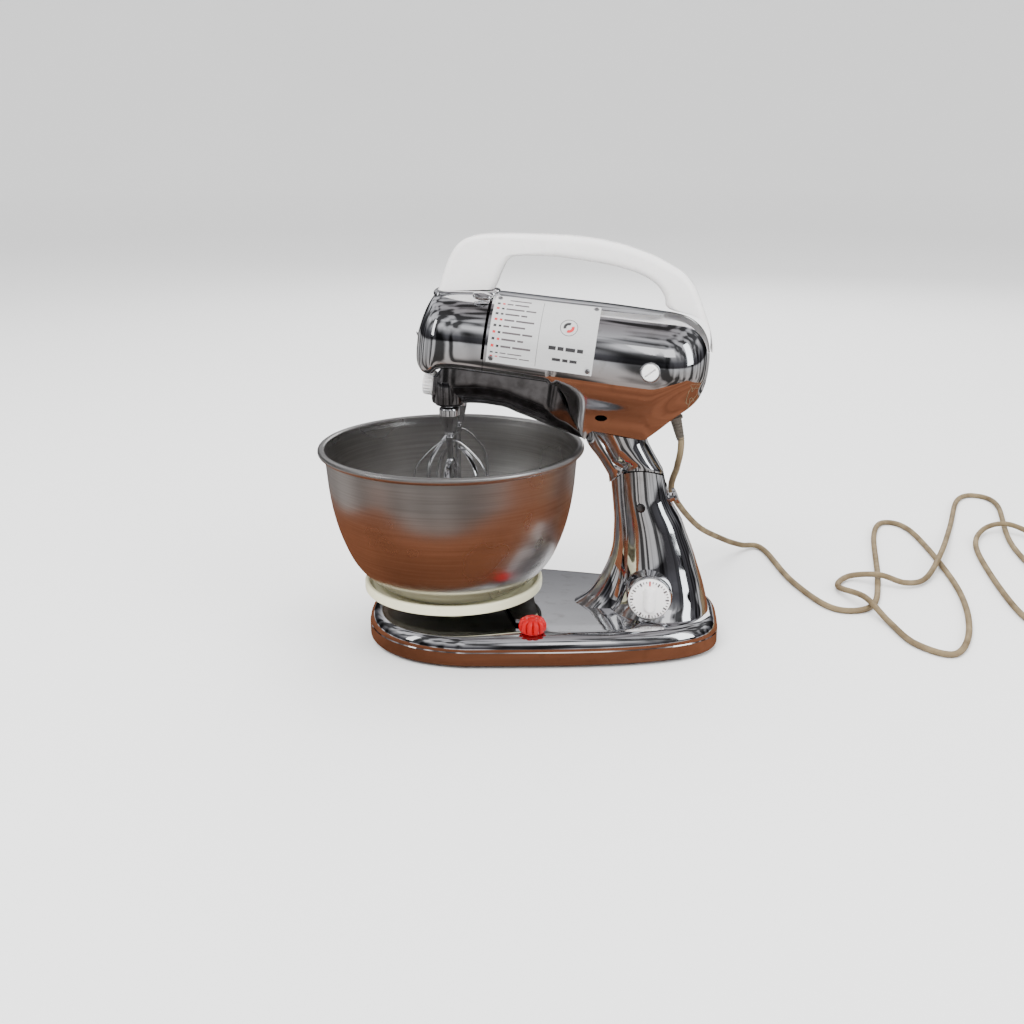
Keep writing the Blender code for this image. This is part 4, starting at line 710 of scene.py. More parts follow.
def head_half_section(u, upper=20, side=26, under=10):
    """Half outline of the head's skin from the crown to its lower edge, as (v, w) points."""
    left = rear_fraction(u)
    top = curve_value(u, HEAD_TOP) * left
    half = curve_value(u, HEAD_SIDE) * left
    points = []
    for k in range(upper):
        t = math.pi / 2 * k / upper
        points.append((half * math.sin(t) ** 0.94, top * math.cos(t) ** 0.94))
    knee_v, knee_w = 20.0 * left, curve_value(u, HEAD_BOTTOM) * (1.0 if u < HEAD_REAR_START_U else 0.985)
    if u >= HEAD_REAR_START_U:
        for k in range(side + 1):
            points.append(bezier((half, 0.0), (half, 0.42 * knee_w), (0.62 * half, 0.52 * knee_w),
                                 (knee_v, knee_w), k / side))
        bottom = curve_value(u, HEAD_BOTTOM)
        points += [(knee_v * (1 - k / under), bottom + (knee_w - bottom) * (1 - k / under))
                   for k in range(1, under + 1)]
        return points
    edge = curve_value(u, SKIRT_EDGE if u > 0 else NOSE_SILL)
    if u < 0:
        tuck = min(9.0, half * 0.25)
        for k in range(side + 1):
            points.append(bezier((half, 0.0), (half, 0.6 * edge), (half, edge), (half - tuck, edge),
                                 k / side))
        return points
    full = [bezier((half, 0.0), (half, -27.0), (0.62 * half, -33.5), (knee_v, -64.4),
                   k / 48) for k in range(49)]
    full += [(knee_v - 0.4, -73.0)]
    tucked = [bezier((half, 0.0), (half, -13.0), (half, -21.5), (half - 9.0, -21.5),
                     k / 48) for k in range(49)]
    tucked += [(half - 9.4, -21.6)]
    blend = min(max((u - 54.0) / 12.0, 0.0), 1.0)
    blend = blend * blend * (3 - 2 * blend)
    skin = [(a[0] * blend + b[0] * (1 - blend), a[1] * blend + b[1] * (1 - blend)) for a,
            b in zip(full, tucked)]
    stop = max(edge, skin[-1][1])
    last = next((k for k, p in enumerate(skin) if p[1] <= stop + 1e-6), len(skin) - 1)
    a, b = skin[last - 1], skin[last]
    share = (a[1] - stop) / (a[1] - b[1]) if a[1] != b[1] else 1.0
    position = last - 1 + share
    for k in range(side + 1):
        place = position * k / side
        i = min(int(place), len(skin) - 2)
        f = place - i
        points.append((skin[i][0] + (skin[i + 1][0] - skin[i][0]) * f,
                       skin[i][1] + (skin[i + 1][1] - skin[i][1]) * f))
    return points


def skin_grid(stations, closed_from=None):
    verts, rows = [], []
    for u in stations:
        closed = closed_from is not None and u >= closed_from
        half = head_half_section(u)
        row = []
        for sign in (1, -1):
            side_row = []
            for k, (v, w) in enumerate(half):
                if sign < 0 and k == 0:
                    side_row.append(row[0])
                    continue
                if sign < 0 and closed and k == len(half) - 1:
                    side_row.append(row[-1])
                    continue
                side_row.append(len(verts))
                verts.append(head_point(u, sign * v, w))
            row = side_row if sign > 0 else row
            rows.append(side_row)
    faces = []
    for n in range(len(stations) - 1):
        for side_index in range(2):
            here, there = rows[2 * n + side_index], rows[2 * n + 2 + side_index]
            for k in range(min(len(here), len(there)) - 1):
                faces.append((here[k], here[k + 1], there[k + 1], there[k]))
    return verts, faces, rows


def add_wall(obj, wall):
    """Gives an open skin its thickness, inwards."""
    solidify = obj.modifiers.new("wall", "SOLIDIFY")
    solidify.thickness = wall * 0.001
    solidify.offset = -1.0
    depsgraph = bpy.context.evaluated_depsgraph_get()
    thick = bpy.data.meshes.new_from_object(obj.evaluated_get(depsgraph))
    obj.modifiers.clear()
    obj.data = thick


def build_rear_housing():
    stations = [0.2, 0.8, 6] + [6 + 6 * k for k in range(1, 8)] + [51 + 1.5 * k for k in range(30)]
    stations += [98, 102, 108, 116, 124, 132, 140, 144]
    stations += [HEAD_REAR_START_U + HEAD_REAR_LENGTH * math.sin(math.radians(4 * k)) for k in range(1, 22)]
    verts, faces, rows = skin_grid(stations, closed_from=HEAD_REAR_START_U)
    end = rows[-2][:] + rows[-1][-2:0:-1]
    centre = len(verts)
    verts.append(head_point(HEAD_REAR_START_U + HEAD_REAR_LENGTH - 0.1, 0.0, 2.0))
    faces += [(end[k], end[(k + 1) % len(end)], centre) for k in range(len(end))]
    housing = make_piece("rear_shell", (verts, faces), "chrome", "head", ["rear_housing"], 40.0)
    add_wall(housing, SHELL_WALL)
    hole = []
    for y in (-60.0, -10.0):
        hole.append([(133.0 + 5.2 * math.cos(a), y, 207.5 + 3.0 * math.sin(a))
                     for a in (2 * math.pi * k / 28 for k in range(28))])
    carve(housing, loft(hole), angle=40.0)
    for side, sign in (("near", -1), ("far", 1)):
        ring = rounded([(6.6, 44.4), (8.3, 44.4), (8.5, 47.2), (7.9, 47.8), (6.6, 47.4)], 0.4)
        bezel = placed(turned(ring + [ring[0]], 48), head_point(BRUSH_U, 0, 0), (0.0, float(sign), 0.0))
        make_piece("brush_bezel_" + side, bezel, "chrome", "head")
        cap = rounded([(0, 37.5), (6.0, 37.5), (6.0, 46.0), (6.8, 46.4), (6.9, 48.4), (6.0, 49.2),
                       (0, 49.3)], 0.4)
        shape = placed(turned(cap, 48), head_point(BRUSH_U, 0, 0), (0.0, float(sign), 0.0))
        plug = make_piece("screw_cap_" + side, shape, "white_plastic", "head", ["brush_cap_" + side])
        x, y, z = head_point(BRUSH_U, sign * 49.0, 0)
        slot = []
        for level in (-1.8, 1.8):
            slot.append([(x + a * 0.80 - b * 0.60, y + level, z + a * 0.60 + b * 0.80)
                         for a, b in ((-5.4, -0.75), (5.4, -0.75), (5.4, 0.75), (-5.4, 0.75))])
        carve(plug, loft(slot))


def build_nose_cap():
    stations = [-0.2, -0.8] + [-4 - 4 * k for k in range(10)]
    stations += [-42, -44, -46, -48, -50, -51.4, -52.6, -53.8, -55, -56.2, -57.4, -58.6, -59.6, -60.4,
                 -61.2, -61.8,
                 -62.3, -62.6, -62.8]
    verts, faces, rows = skin_grid(stations)
    size = len(rows[0])
    for n in range(len(stations) - 1):
        if stations[n + 1] > -46:
            continue
        near, far = rows[2 * n], rows[2 * n + 1]
        next_near, next_far = rows[2 * n + 2], rows[2 * n + 3]
        faces.append((near[size - 1], far[size - 1], next_far[size - 1], next_near[size - 1]))
    end = rows[-2][:] + rows[-1][:0:-1]
    centre = len(verts)
    verts.append(head_point(-63.0, 0.0, -6.0))
    faces += [(end[k], end[(k + 1) % len(end)], centre) for k in range(len(end))]
    cap = make_piece("nose_shell", (verts, faces), "chrome", "head", ["nose_cap"], 40.0)
    add_wall(cap, SHELL_WALL)
    first, last = math.radians(SPEED_REST_DEG - 6), math.radians(SPEED_REST_DEG + SPEED_TRAVEL_DEG + 6)
    arc = [(-math.sin(first + (last - first) * k / 24), math.cos(first + (last - first) * k / 24))
           for k in range(25)]
    outline = [(30 * x, 30 * y) for x, y in arc] + [(60 * x, 60 * y) for x, y in reversed(arc)]
    carve(cap, prism(outline, -2.2, 2.0, lambda p, u: head_point(u, p[0], p[1])), angle=40.0)

    bands = []
    for u, lift in ((-1.4, 0.0), (-1.9, 0.55), (-4.4, 0.55), (-4.9, 0.0)):
        half = head_half_section(u)
        ring = []
        for v, w in half[:-6]:
            out = Vector((v / 46.0 ** 2, w / 43.0 ** 2))
            out = out.normalized() if out.length > 0 else Vector((0.0, 1.0))
            ring.append((u, v + out.x * (lift - 0.2), w + out.y * (lift - 0.2)))
        bands.append(ring)
    verts = [head_point(u, v, w) for ring in bands for u, v, w in ring]
    size = len(bands[0])
    faces = [(n * size + k, n * size + k + 1, (n + 1) * size + k + 1, (n + 1) * size + k)
             for n in range(3) for k in range(size - 1)]
    make_piece("seam_bead_far", (verts, faces), "chrome", "head", angle=60.0)


GEAR_CASE_FLOOR = [(-44, -62), (-38, -60.5), (-20, -57.0), (3, -54.3), (18, -54.5), (31.5, -57.9),
                   (40, -59.9),
                   (75.3, -69.6), (92, -74.6)]
GEAR_CASE_TOP = [(-44, -34.5), (-40, -33), (-30, -16.5), (58, -16.5), (66, -22), (70, -27), (75, -36),
                 (92, -52)]
GEAR_CASE_SIDE = [(-44, 24), (-38, 30), (-25, 33.5), (0, 35), (58, 35), (75, 25.6), (84, 19.5), (92, 14.5)]


def gear_case_ring(u, shrink=0.0):
    floor = curve_value(u, GEAR_CASE_FLOOR) + shrink
    side = curve_value(u, GEAR_CASE_SIDE) - shrink
    top = curve_value(u, GEAR_CASE_TOP)
    rise = min(24.0, 0.7 * (top - floor))
    half = []
    for k in range(19):
        t = math.pi / 2 * k / 18
        half.append((side * math.sin(t) ** 0.8, floor + rise * (1 - math.cos(t) ** 0.9)))
    half.append((side, top))
    ring = [head_point(u, v, w) for v, w in half]
    return ring + [head_point(u, -v, w) for v, w in reversed(half[1:])]


def build_gear_case():
    stations = [-44, -43.5, -42, -40, -37] + [-34 + 4 * k for k in range(32)] + [92]
    rings = []
    for n, u in enumerate(stations):
        rings.append(gear_case_ring(u, (2.5, 1.2, 0.4, 0.1)[n] if n < 4 else 0.0))
    case = make_piece("gear_case_casting", loft(rings), "dark_enamel", "head", ["gear_case"], 45.0)
    boss = rounded([(0, 215.5), (11.4, 215.5), (12.5, 216.8), (12.5, 232), (12.0, 237), (0, 240)], 0.8)
    for y in (-SPINDLE_Y, SPINDLE_Y):
        carve(case, placed(turned(boss, 56), (SPINDLE_X, y, 0), spin=0.03), "UNION", 40.0)
    hollow = []
    for u in [-41, -38, -30] + [-22 + 8 * k for k in range(14)]:
        ring = [p for p in gear_case_ring(u, 2.8)]
        top = curve_value(u, GEAR_CASE_TOP) + 9.0
        side = curve_value(u, GEAR_CASE_SIDE) - 2.8
        ring[19] = head_point(u, side, top)
        ring[20] = head_point(u, -side, top)
        hollow.append(ring)
    carve(case, loft(hollow), angle=40.0)
    for y in (-SPINDLE_Y, SPINDLE_Y):
        bore = placed(turned([(0, 200), (5.3, 200), (5.3, 250), (0, 250)], 32), (SPINDLE_X, y, 0))
        carve(case, bore, angle=40.0)


def build_front_cap():
    ribs, steps = 22, 176
    rings = []
    for radius, depth, reach in ((9.4, 0.0, 44.6), (11.0, 0.0, 45.0), (11.2, 0.0, 46.8), (10.6, 0.0, 47.2),
                                 (10.8, 0.7, 47.8), (10.8, 0.8, 52.6), (10.4, 0.6, 53.6), (9.4, 0.1, 54.5),
                                 (8.4, 0.0, 54.8), (3.0, 0.0, 54.8), (2.4, 0.0, 54.0), (0.6, 0.0, 54.0)):
        ring = []
        for k in range(steps):
            angle = 2 * math.pi * k / steps
            r = radius - depth * 0.5 * (1 - math.cos(ribs * angle))
            ring.append(head_point(-reach, r * math.cos(angle), CAP_W + r * math.sin(angle)))
        rings.append(ring)
    make_piece("ribbed_cap", loft(rings), "white_plastic", "front_cap", ["front_cap"], 50.0)


HANDLE_STATIONS = [
    (-8.5, 311.8, 39.5, 313.4, 13.0), (-6.5, 318.0, 42.0, 318.5, 12.8), (-3.0, 329.0, 45.5, 327.0, 12.5),
    (2.0, 340.5, 49.5, 335.0, 12.5), (9.0, 350.5, 55.0, 340.0, 12.5), (21.0, 356.8, 62.0, 341.0, 12.5),
    (45.0, 359.0, 74.0, 341.2, 12.5), (95.0, 358.0, 95.0, 340.2, 12.5), (122.0, 355.6, 118.0, 337.2, 12.5),
    (148.0, 350.4, 139.0, 333.6, 12.5), (170.0, 343.0, 157.0, 328.8, 12.5),
                   (188.0, 334.0, 170.5, 322.6, 12.5),
    (200.0, 326.5, 179.0, 315.6, 12.5), (208.5, 316.5, 183.6, 307.4, 12.5),
                   (213.0, 307.5, 185.0, 300.8, 12.8),
    (217.0, 297.0, 190.0, 297.4, 13.0), (219.5, 290.5, 201.0, 295.2, 13.0),
                   (221.8, 284.0, 211.5, 292.8, 13.0),
    (223.8, 277.0, 219.5, 286.6, 13.0), (225.4, 268.0, 223.6, 274.0, 12.6),
                   (225.6, 262.0, 224.0, 263.0, 11.5),
]


def handle_ring(outer_x, outer_z, inner_x, inner_z, half_width):
    length = math.hypot(inner_x - outer_x, inner_z - outer_z)
    corner = min(6.5, 0.42 * length)
    ring = []
    for cx, cy, start in ((1, 1, 0), (0, 1, 90), (0, -1, 180), (1, -1, 270)):
        for k in range(9):
            angle = math.radians(start + 90 * k / 8)
            y = cy * (half_width - corner) + corner * math.sin(angle)
            along = (length - corner if cx else corner) + corner * math.cos(angle)
            share = along / length
            ring.append((outer_x + (inner_x - outer_x) * share, y, outer_z + (inner_z - outer_z) * share))
    return ring


def build_handle():
    rings = [handle_ring(*station) for station in spline(HANDLE_STATIONS, 6)]
    make_piece("moulded_handle", loft(rings), "white_plastic", "head", ["handle"], 50.0)
    rings = []
    for grow, lift in ((3.6, -3.4), (3.4, -1.4), (2.6, -0.4), (1.2, 0.2), (0.4, 0.3), (0.1, -0.2),
                       (-1.0, -2.0)):
        ring = []
        for k in range(64):
            a = 2 * math.pi * k / 64
            x = 15.5 + (24.6 + grow) * math.copysign(abs(math.cos(a)) ** 0.42, math.cos(a))
            y = (13.0 + grow) * math.copysign(abs(math.sin(a)) ** 0.42, math.sin(a))
            ring.append((x, y, 312.6 + lift - 0.0042 * y * y))
        rings.append(ring)
    make_piece("handle_collar", loft(rings, caps=(False, False)), "chrome", "head", angle=50.0)


NECK_FRONT = [(140, 142), (148, 140.5), (158, 135.5), (168, 129), (177, 122), (183, 119), (190, 117.5),
              (205, 116)]
NECK_GROOVE = [(140, 153), (152, 156), (161, 150), (174, 143), (187, 135), (198, 125), (205, 122)]
NECK_REAR = [(150, 187.5), (158, 182), (167, 177), (177, 173), (187, 172), (205, 172)]


def build_neck():
    rings = []
    for n in range(26):
        level = 148 + 2.0 * n
        half = column_section(curve_value(level, NECK_FRONT), curve_value(level, NECK_GROOVE),
                              curve_value(level, NECK_REAR), 20.0, 12.0)

        def lift(x, y, level=level):
            saddle = dome_height(x, SADDLE_RADIUS)
            return (x, y, max(level, saddle + 0.8 * (level - 148)) if level > 148 else saddle)
        rings.append(mirrored_ring(half, lift))
    verts, faces = loft(rings, caps=(False, True))
    faces += strip_cap(0, len(rings[0]))
    neck = make_piece("neck_shell", (verts, faces), "chrome", "head", ["neck"], 28.0)
    above = [(40, -56.5), (60, -66.0), (75.3, -70.3), (91.5, -75.4), (92.6, -75.4), (94.6, -63.4),
             (99, -62.9),
             (150, -65.1), (170, -66), (170, -20), (40, -20)]
    carve(neck, prism(above, -40.0, 40.0, lambda p, v: head_point(p[0], v, p[1])), angle=28.0)
    outline = hinge_arc(TONGUE_EYE_RADIUS, 112.0, 80.0 + 360.0, 40)
    outline += hinge_arc(SADDLE_RADIUS + 4.0, 80.0, 112.0, 4)
    width = TONGUE_HALF_WIDTH
    carve(neck, prism(outline, -width, width, lambda p, y: (p[0], y, p[1])), "UNION", 28.0)
    bore = placed(turned([(0, 0), (4.1, 0), (4.1, 60), (0, 60)], 28), (HINGE_X, -30.0, HINGE_Z), (0, 1, 0))
    carve(neck, bore, angle=28.0)


# ---------------------------------------------------------------- plate
def plate_point(u, girth, lift):
    """A point near the housing's near side: girth from 0 at the crown, 1 at the waist, more below it."""
    top, half = curve_value(u, HEAD_TOP), curve_value(u, HEAD_SIDE)
    if girth > 1.0:
        return head_point(u, -(half + lift), -(girth - 1.0) * 40.0)
    t = math.pi / 2 * girth
    v, w = half * math.sin(t) ** 0.94, top * math.cos(t) ** 0.94
    normal = Vector((v / half ** 2, w / top ** 2)).normalized()
    return head_point(u, -(v + normal.x * lift), w + normal.y * lift)


def plate_patch(u0, u1, g0, g1, low, high, across=2, along=2):
    """A thin raised rectangle that follows the housing's side."""
    layers = []
    for lift in (low, high):
        layers.append([[plate_point(u0 + (u1 - u0) * i / along, g0 + (g1 - g0) * k / across, lift)
                        for k in range(across + 1)] for i in range(along + 1)])
    size = across + 1
    verts = [p for layer in layers for row in layer for p in row]
    total = (along + 1) * size
    faces = []
    for i in range(along):
        for k in range(across):
            a = i * size + k
            faces.append((a, a + 1, a + size + 1, a + size))
            faces.append((total + a, total + a + size, total + a + size + 1, total + a + 1))
    rim = list(range(size)) + [i * size + size - 1 for i in range(1, along + 1)]
    rim += [along * size + k for k in reversed(range(size - 1))] + [i * size for i in reversed(range(1,
                                                                                                     along))]
    faces += [(a, b, total + b, total + a) for a, b in zip(rim, rim[1:] + rim[:1])]
    return verts, faces


def build_plate():
    plate = make_piece("engraved_plate", plate_patch(2.6, 91.2, 0.23, 1.24, 0.4, 1.15, 48, 44), "aluminium",
                       "head",
                       ["spec_plate"], 40.0)
    add_bevel(plate, 0.25, 2)
    face = 1.14
    make_piece("plate_divider", plate_patch(43.6, 43.95, 0.28, 1.19, face, face + 0.08, 30, 1), "aluminium",
               "head",
               finish="grey_print")
    red, black, grey = [], [], []
    for row in range(10):
        girth = 0.375 + 0.079 * row
        (red if row % 2 else black).append(plate_patch(5.2, 7.6, girth, girth + 0.030, face, face + 0.1))
        (black if row % 3 else red).append(plate_patch(9.6, 11.8, girth + 0.002, girth + 0.028, face,
                                                       face + 0.1))
        start = 13.4
        for word in range(2 + row % 2):
            length = 5.0 + 3.4 * ((row * 3 + word * 2) % 4)
            finish = min(start + length, 41.0)
            grey.append(plate_patch(start, finish, girth + 0.004, girth + 0.026, face, face + 0.08, 2, 4))
            start = finish + 1.5
            if start > 38:
                break
    grey.append(plate_patch(15.0, 33.0, 0.305, 0.325, face, face + 0.08, 2, 6))
    for girth, lengths in ((0.86, (6.0, 5.0, 8.0, 5.0)), (0.985, (7.0, 4.5, 6.0))):
        start = 67.4 - (sum(lengths) + 1.6 * (len(lengths) - 1)) / 2
        for length in lengths:
            black.append(plate_patch(start, start + length, girth, girth + 0.042, face, face + 0.1, 2, 3))
            start += length + 1.6
    make_piece("plate_marks_red", joined(*red), "aluminium", "head", finish="red_print")
    make_piece("plate_marks_black", joined(*black), "aluminium", "head", finish="black_print")
    make_piece("plate_lines_grey", joined(*grey), "aluminium", "head", finish="grey_print")

    def arc_band(start_deg, finish_deg, inner, outer):
        shapes, steps = [], 10
        rings = []
        for k in range(steps + 1):
            a = math.radians(start_deg + (finish_deg - start_deg) * k / steps)
            ring = []
            for r, lift in ((inner, face), (outer, face), (outer, face + 0.12), (inner, face + 0.12)):
                ring.append(plate_point(67.4 + r * math.cos(a), 0.62 + r * math.sin(a) / 70.0, lift))
            rings.append(ring)
        shapes.append(loft(rings))
        return shapes[0]
    make_piece("plate_ring", joined(arc_band(0, 180, 7.0, 7.5), arc_band(180, 360, 7.0, 7.5)), "aluminium",
               "head",
               finish="grey_print")
    make_piece("plate_leaf_dark", joined(arc_band(160, 290, 2.2, 4.6)), "aluminium", "head",
               finish="black_print")
    make_piece("plate_leaf_red", joined(arc_band(-20, 110, 2.2, 4.6)), "aluminium", "head",
               finish="red_print")
    corners = (("front_top", 6.4, 0.285), ("rear_top", 87.4, 0.285), ("front_low", 6.4, 1.15),
               ("rear_low", 87.4, 1.15))
    for name, u, girth in corners:
        seat, tip = Vector(plate_point(u, girth, 1.2)), Vector(plate_point(u, girth, 2.2))
        dome = rounded([(0, 0), (2.1, 0), (2.1, 0.5), (1.3, 1.2), (0, 1.4)], 0.3)
        screw = make_piece("drive_screw_" + name, placed(turned(dome, 28), seat, tip - seat), "steel", "head",
                           ["plate_screw_" + name])
        out = (tip - seat).normalized()
        side = out.cross(Vector((0.6, 0.0, 0.8))).normalized()
        across = out.cross(side)
        slot = [[seat + out * level + side * a + across * b for a, b in
                 ((-3, -0.25), (3, -0.25), (3, 0.25), (-3, 0.25))] for level in (0.9, 2.4)]
        carve(screw, loft(slot))


# ---------------------------------------------------------------- controls and tools
def build_speed_ring():
    rest = math.radians(SPEED_REST_DEG)

    def polar(u, radius, across):
        return head_point(u, -radius * math.sin(rest) - across * math.cos(rest),
                          radius * math.cos(rest) - across * math.sin(rest))
    ring = rounded([(27, -9), (30.5, -9), (30.5, -5.5), (27, -5.5)], 0.4)
    control = make_piece("control_ring", about_shaft(ring, 72, closed=True), "steel", "speed_ring",
                         ["speed_ring"])
    stem = [[polar(u, radius, across) for u, across in ((-6.5, -2.5), (-0.6, -2.5), (-0.6, 2.5), (-6.5, 2.5))]
            for radius in (28.0, 36.0)]
    stem_out = [[polar(u, radius, across) for u, across in ((-1.8, -2.4), (-0.5, -2.4), (-0.5, 2.4),
                                                            (-1.8, 2.4))]
                for radius in (35.0, 48.0)]
    make_piece("control_stem", joined(loft(stem), loft(stem_out)), "steel", "speed_ring")
    tab = []
    for radius, scale in ((47.0, 0.90), (47.2, 0.97), (47.6, 1.0), (49.0, 1.0), (49.8, 0.94), (50.3, 0.82),
                          (50.55, 0.6), (50.6, 0.3)):
        tab.append([polar(-8.8 + 8.2 * scale * math.cos(a), radius, 4.6 * scale * math.sin(a))
                    for a in (2 * math.pi * k / 48 for k in range(48))])
    make_piece("control_tab", loft(tab), "chrome", "speed_ring", angle=60.0)
    return control


BEATER_LOOP = [(3.0, 184.0), (9.0, 181.5), (20.0, 172.0), (29.5, 160.0), (33.0, 146.0), (33.0, 120.0),
               (32.0, 96.0),
               (27.5, 76.0), (18.0, 64.0), (8.0, 59.5), (2.0, 58.5)]


LOW_LOOP = [(3.0, 167.0), (9.0, 165.5), (18.5, 160.0), (26.5, 150.0), (30.0, 138.0), (30.5, 120.0),
            (29.5, 97.0),
            (25.5, 77.5), (17.0, 66.5), (8.0, 62.0), (2.0, 61.0)]


def build_beater(side, y, phase):
    stem = [(0, 56.5), (2.6, 57.5), (3.0, 60), (2.7, 66), (2.7, 180), (3.6, 182), (3.6, 187), (2.7, 188),
            (2.7, 201.5),
            (0, 202.0)]
    shapes = [placed(turned(rounded(stem, 0.8), 36), (SPINDLE_X, y, 0))]
    for k in range(4):
        path = spline(LOW_LOOP if k % 2 else BEATER_LOOP, 6)
        turn = phase + math.pi / 2 * k
        rings = []
        for i, (r, z) in enumerate(path):
            before, after = path[max(i - 1, 0)], path[min(i + 1, len(path) - 1)]
            along = Vector((after[0] - before[0], after[1] - before[1])).normalized()
            ring = []
            for n in range(12):
                a = 2 * math.pi * n / 12
                across = 2.5 * math.copysign(abs(math.cos(a)) ** 0.6, math.cos(a))
                out = 0.65 * math.copysign(abs(math.sin(a)) ** 0.8, math.sin(a))
                px, pz = r - along.y * out, z + along.x * out
                ring.append((SPINDLE_X + px * math.cos(turn) - across * math.sin(turn),
                             y + px * math.sin(turn) + across * math.cos(turn), pz))
            rings.append(ring)
        shapes.append(loft(rings))
    make_piece("whisk_" + side, joined(*shapes), "chrome", side + "_spindle", ["beater_" + side], 45.0)


def build_spindle(side, y, phase_deg):
    shaft = [(0, 203), (3.2, 203), (3.2, 189), (4.8, 189), (5.4, 189.8), (5.2, 191.4), (6.2, 192.4),
             (6.5, 196),
             (8.2, 203), (8.9, 206), (8.9, 211.6), (8.4, 213.0), (4.7, 213.4), (4.7, 262.0), (0, 262.0)]
    make_piece("socket_" + side, placed(turned(rounded(shaft, 0.5), 48), (SPINDLE_X, y, 0)), "chrome",
               side + "_spindle", ["spindle_" + side])
    build_beater(side, y, math.radians(phase_deg))


def build_relief_and_cord():
    start = Vector(CORD_EXIT)
    axis = Vector(CORD_ROUTE[0]) - start
    tip = axis.length - 2.2
    profile = [(0, -4.5), (3.6, -4.5), (3.6, 2.0), (6.4, 3.2), (6.4, 5.2), (4.8, 6.2)]
    level = 7.0
    while level < tip - 3.0:
        share = (level - 7.0) / (tip - 10.0)
        outer = 4.8 - 1.1 * share
        profile += [(outer, level), (outer, level + 1.6), (outer - 0.7, level + 1.9),
                    (outer - 0.7, level + 2.5)]
        level += 2.8
    profile += [(3.6, tip), (0, tip)]
    make_piece("ribbed_relief", placed(turned(profile, 32), start, axis), "rubber", "head", ["strain_relief"])

    route = [tuple(start + axis * 0.72)] + CORD_ROUTE
    dense = [Vector((x, y, max(z, CORD_RADIUS + 0.1))) for x, y, z in spline(route, 12)]
    rings, normal = [], Vector((0.0, 1.0, 0.0))
    for i, centre in enumerate(dense):
        along = (dense[min(i + 1, len(dense) - 1)] - dense[max(i - 1, 0)]).normalized()
        normal = (normal - along * normal.dot(along)).normalized()
        side = along.cross(normal)
        rings.append([tuple(centre + (normal * math.cos(a) + side * math.sin(a)) * CORD_RADIUS)
                      for a in (2 * math.pi * k / 20 for k in range(20))])
    flex = make_piece("mains_flex", loft(rings), "khaki_rubber", None, ["cord"], 60.0)
    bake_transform(flex)

    body = [(0, 0.6), (3.9, 0.6), (4.3, 3.0), (3.9, 3.6), (4.4, 4.2), (4.8, 7.0), (4.4, 7.6), (5.0, 8.2),
            (7.4, 12),
            (8.2, 14), (8.2, 29.5), (7.6, 32), (0, 32)]
    verts, faces = turned(rounded(body, 0.6), 48)
    verts = [(x, y * (1.0 - 0.22 * min(max((z - 9) / 4, 0.0), 1.0)), z) for x, y, z in verts]
    turn = Matrix((PLUG_SIDE, Vector((0, 0, 1)), PLUG_AXIS)).transposed()
    plug_verts = [tuple(turn @ Vector(p) + PLUG_START) for p in verts]
    plug = make_piece("moulded_plug", (plug_verts, faces), "rubber", "stand", ["plug_body"], 40.0)


CORD_EXIT = head_point(166.0, 0.0, -41.0)
CORD_ROUTE = [
    (202.3, 2.8, 181.8), (202.0, 8.0, 169.0), (200.0, 18.0, 154.0), (197.5, 54.0, 119.5),
    (225.0, 140.0, 61.0), (256.0, 202.0, 26.0), (279.0, 237.0, 8.0), (302.0, 242.0, 3.1),
    (324.0, 143.0, 3.1), (355.0, 73.0, 3.1), (392.0, 80.0, 3.1), (411.0, 152.0, 3.1), (432.0, 300.0, 3.1),
    (452.0, 350.0, 3.1), (477.0, 318.0, 3.1), (487.0, 155.0, 3.1), (475.0, 44.0, 3.1),
    (448.0, -24.0, 3.1), (417.0, -6.0, 3.1), (402.0, 42.0, 4.0), (387.0, 86.0, 10.4), (368.0, 128.0, 4.6),
    (383.0, 158.0, 5.0), (411.0, 150.0, 10.6), (436.0, 142.0, 6.0), (460.0, 160.0, 5.2),
    (489.0, 226.0, 10.6), (526.0, 345.0, 3.1), (558.0, 450.0, 3.1), (584.0, 474.0, 3.1),
    (602.0, 436.0, 3.1), (578.0, 280.0, 3.1), (582.0, 108.0, 3.1), (562.0, 38.0, 3.1), (531.0, 72.0, 3.1),
    (534.0, 250.0, 3.1), (556.0, 322.0, 6.4), (588.0, 334.0, 10.6), (618.0, 292.0, 3.4),
    (617.5, 190.0, 8.6),
]
PLUG_START = Vector((617.4, 189.4, 8.6))
PLUG_AXIS = Vector((-0.17, -0.985, 0.0)).normalized()
PLUG_SIDE = PLUG_AXIS.cross(Vector((0.0, 0.0, 1.0)))


# ---------------------------------------------------------------- carried-over nodes
def dress_nodes():
    """CAD nodes whose own shape is right get their finish and softened edges."""
    slots = {entry["node"]: entry["material_slot"] for entry in frame["record"]["subparts"]}
    for name, obj in NODES.items():
        if obj.hide_render:
            continue
        for index in range(max(len(obj.material_slots), 1)):
            if not obj.material_slots:
                obj.data.materials.append(FINISHES[slots[name]])
            obj.material_slots[index].link = "OBJECT"
            obj.material_slots[index].material = FINISHES[slots[name]]
        add_bevel(obj, 0.3, 2, 40.0)


# ---------------------------------------------------------------- studio
def emitter(name, colour, strength):
    material = bpy.data.materials.new(name)
    material.use_nodes = True
    tree = material.node_tree
    tree.nodes.clear()
    light = tree.nodes.new("ShaderNodeEmission")
    light.inputs["Color"].default_value = (*colour, 1.0)
    light.inputs["Strength"].default_value = strength
    output = tree.nodes.new("ShaderNodeOutputMaterial")
    tree.links.new(light.outputs["Emission"], output.inputs["Surface"])
    return material


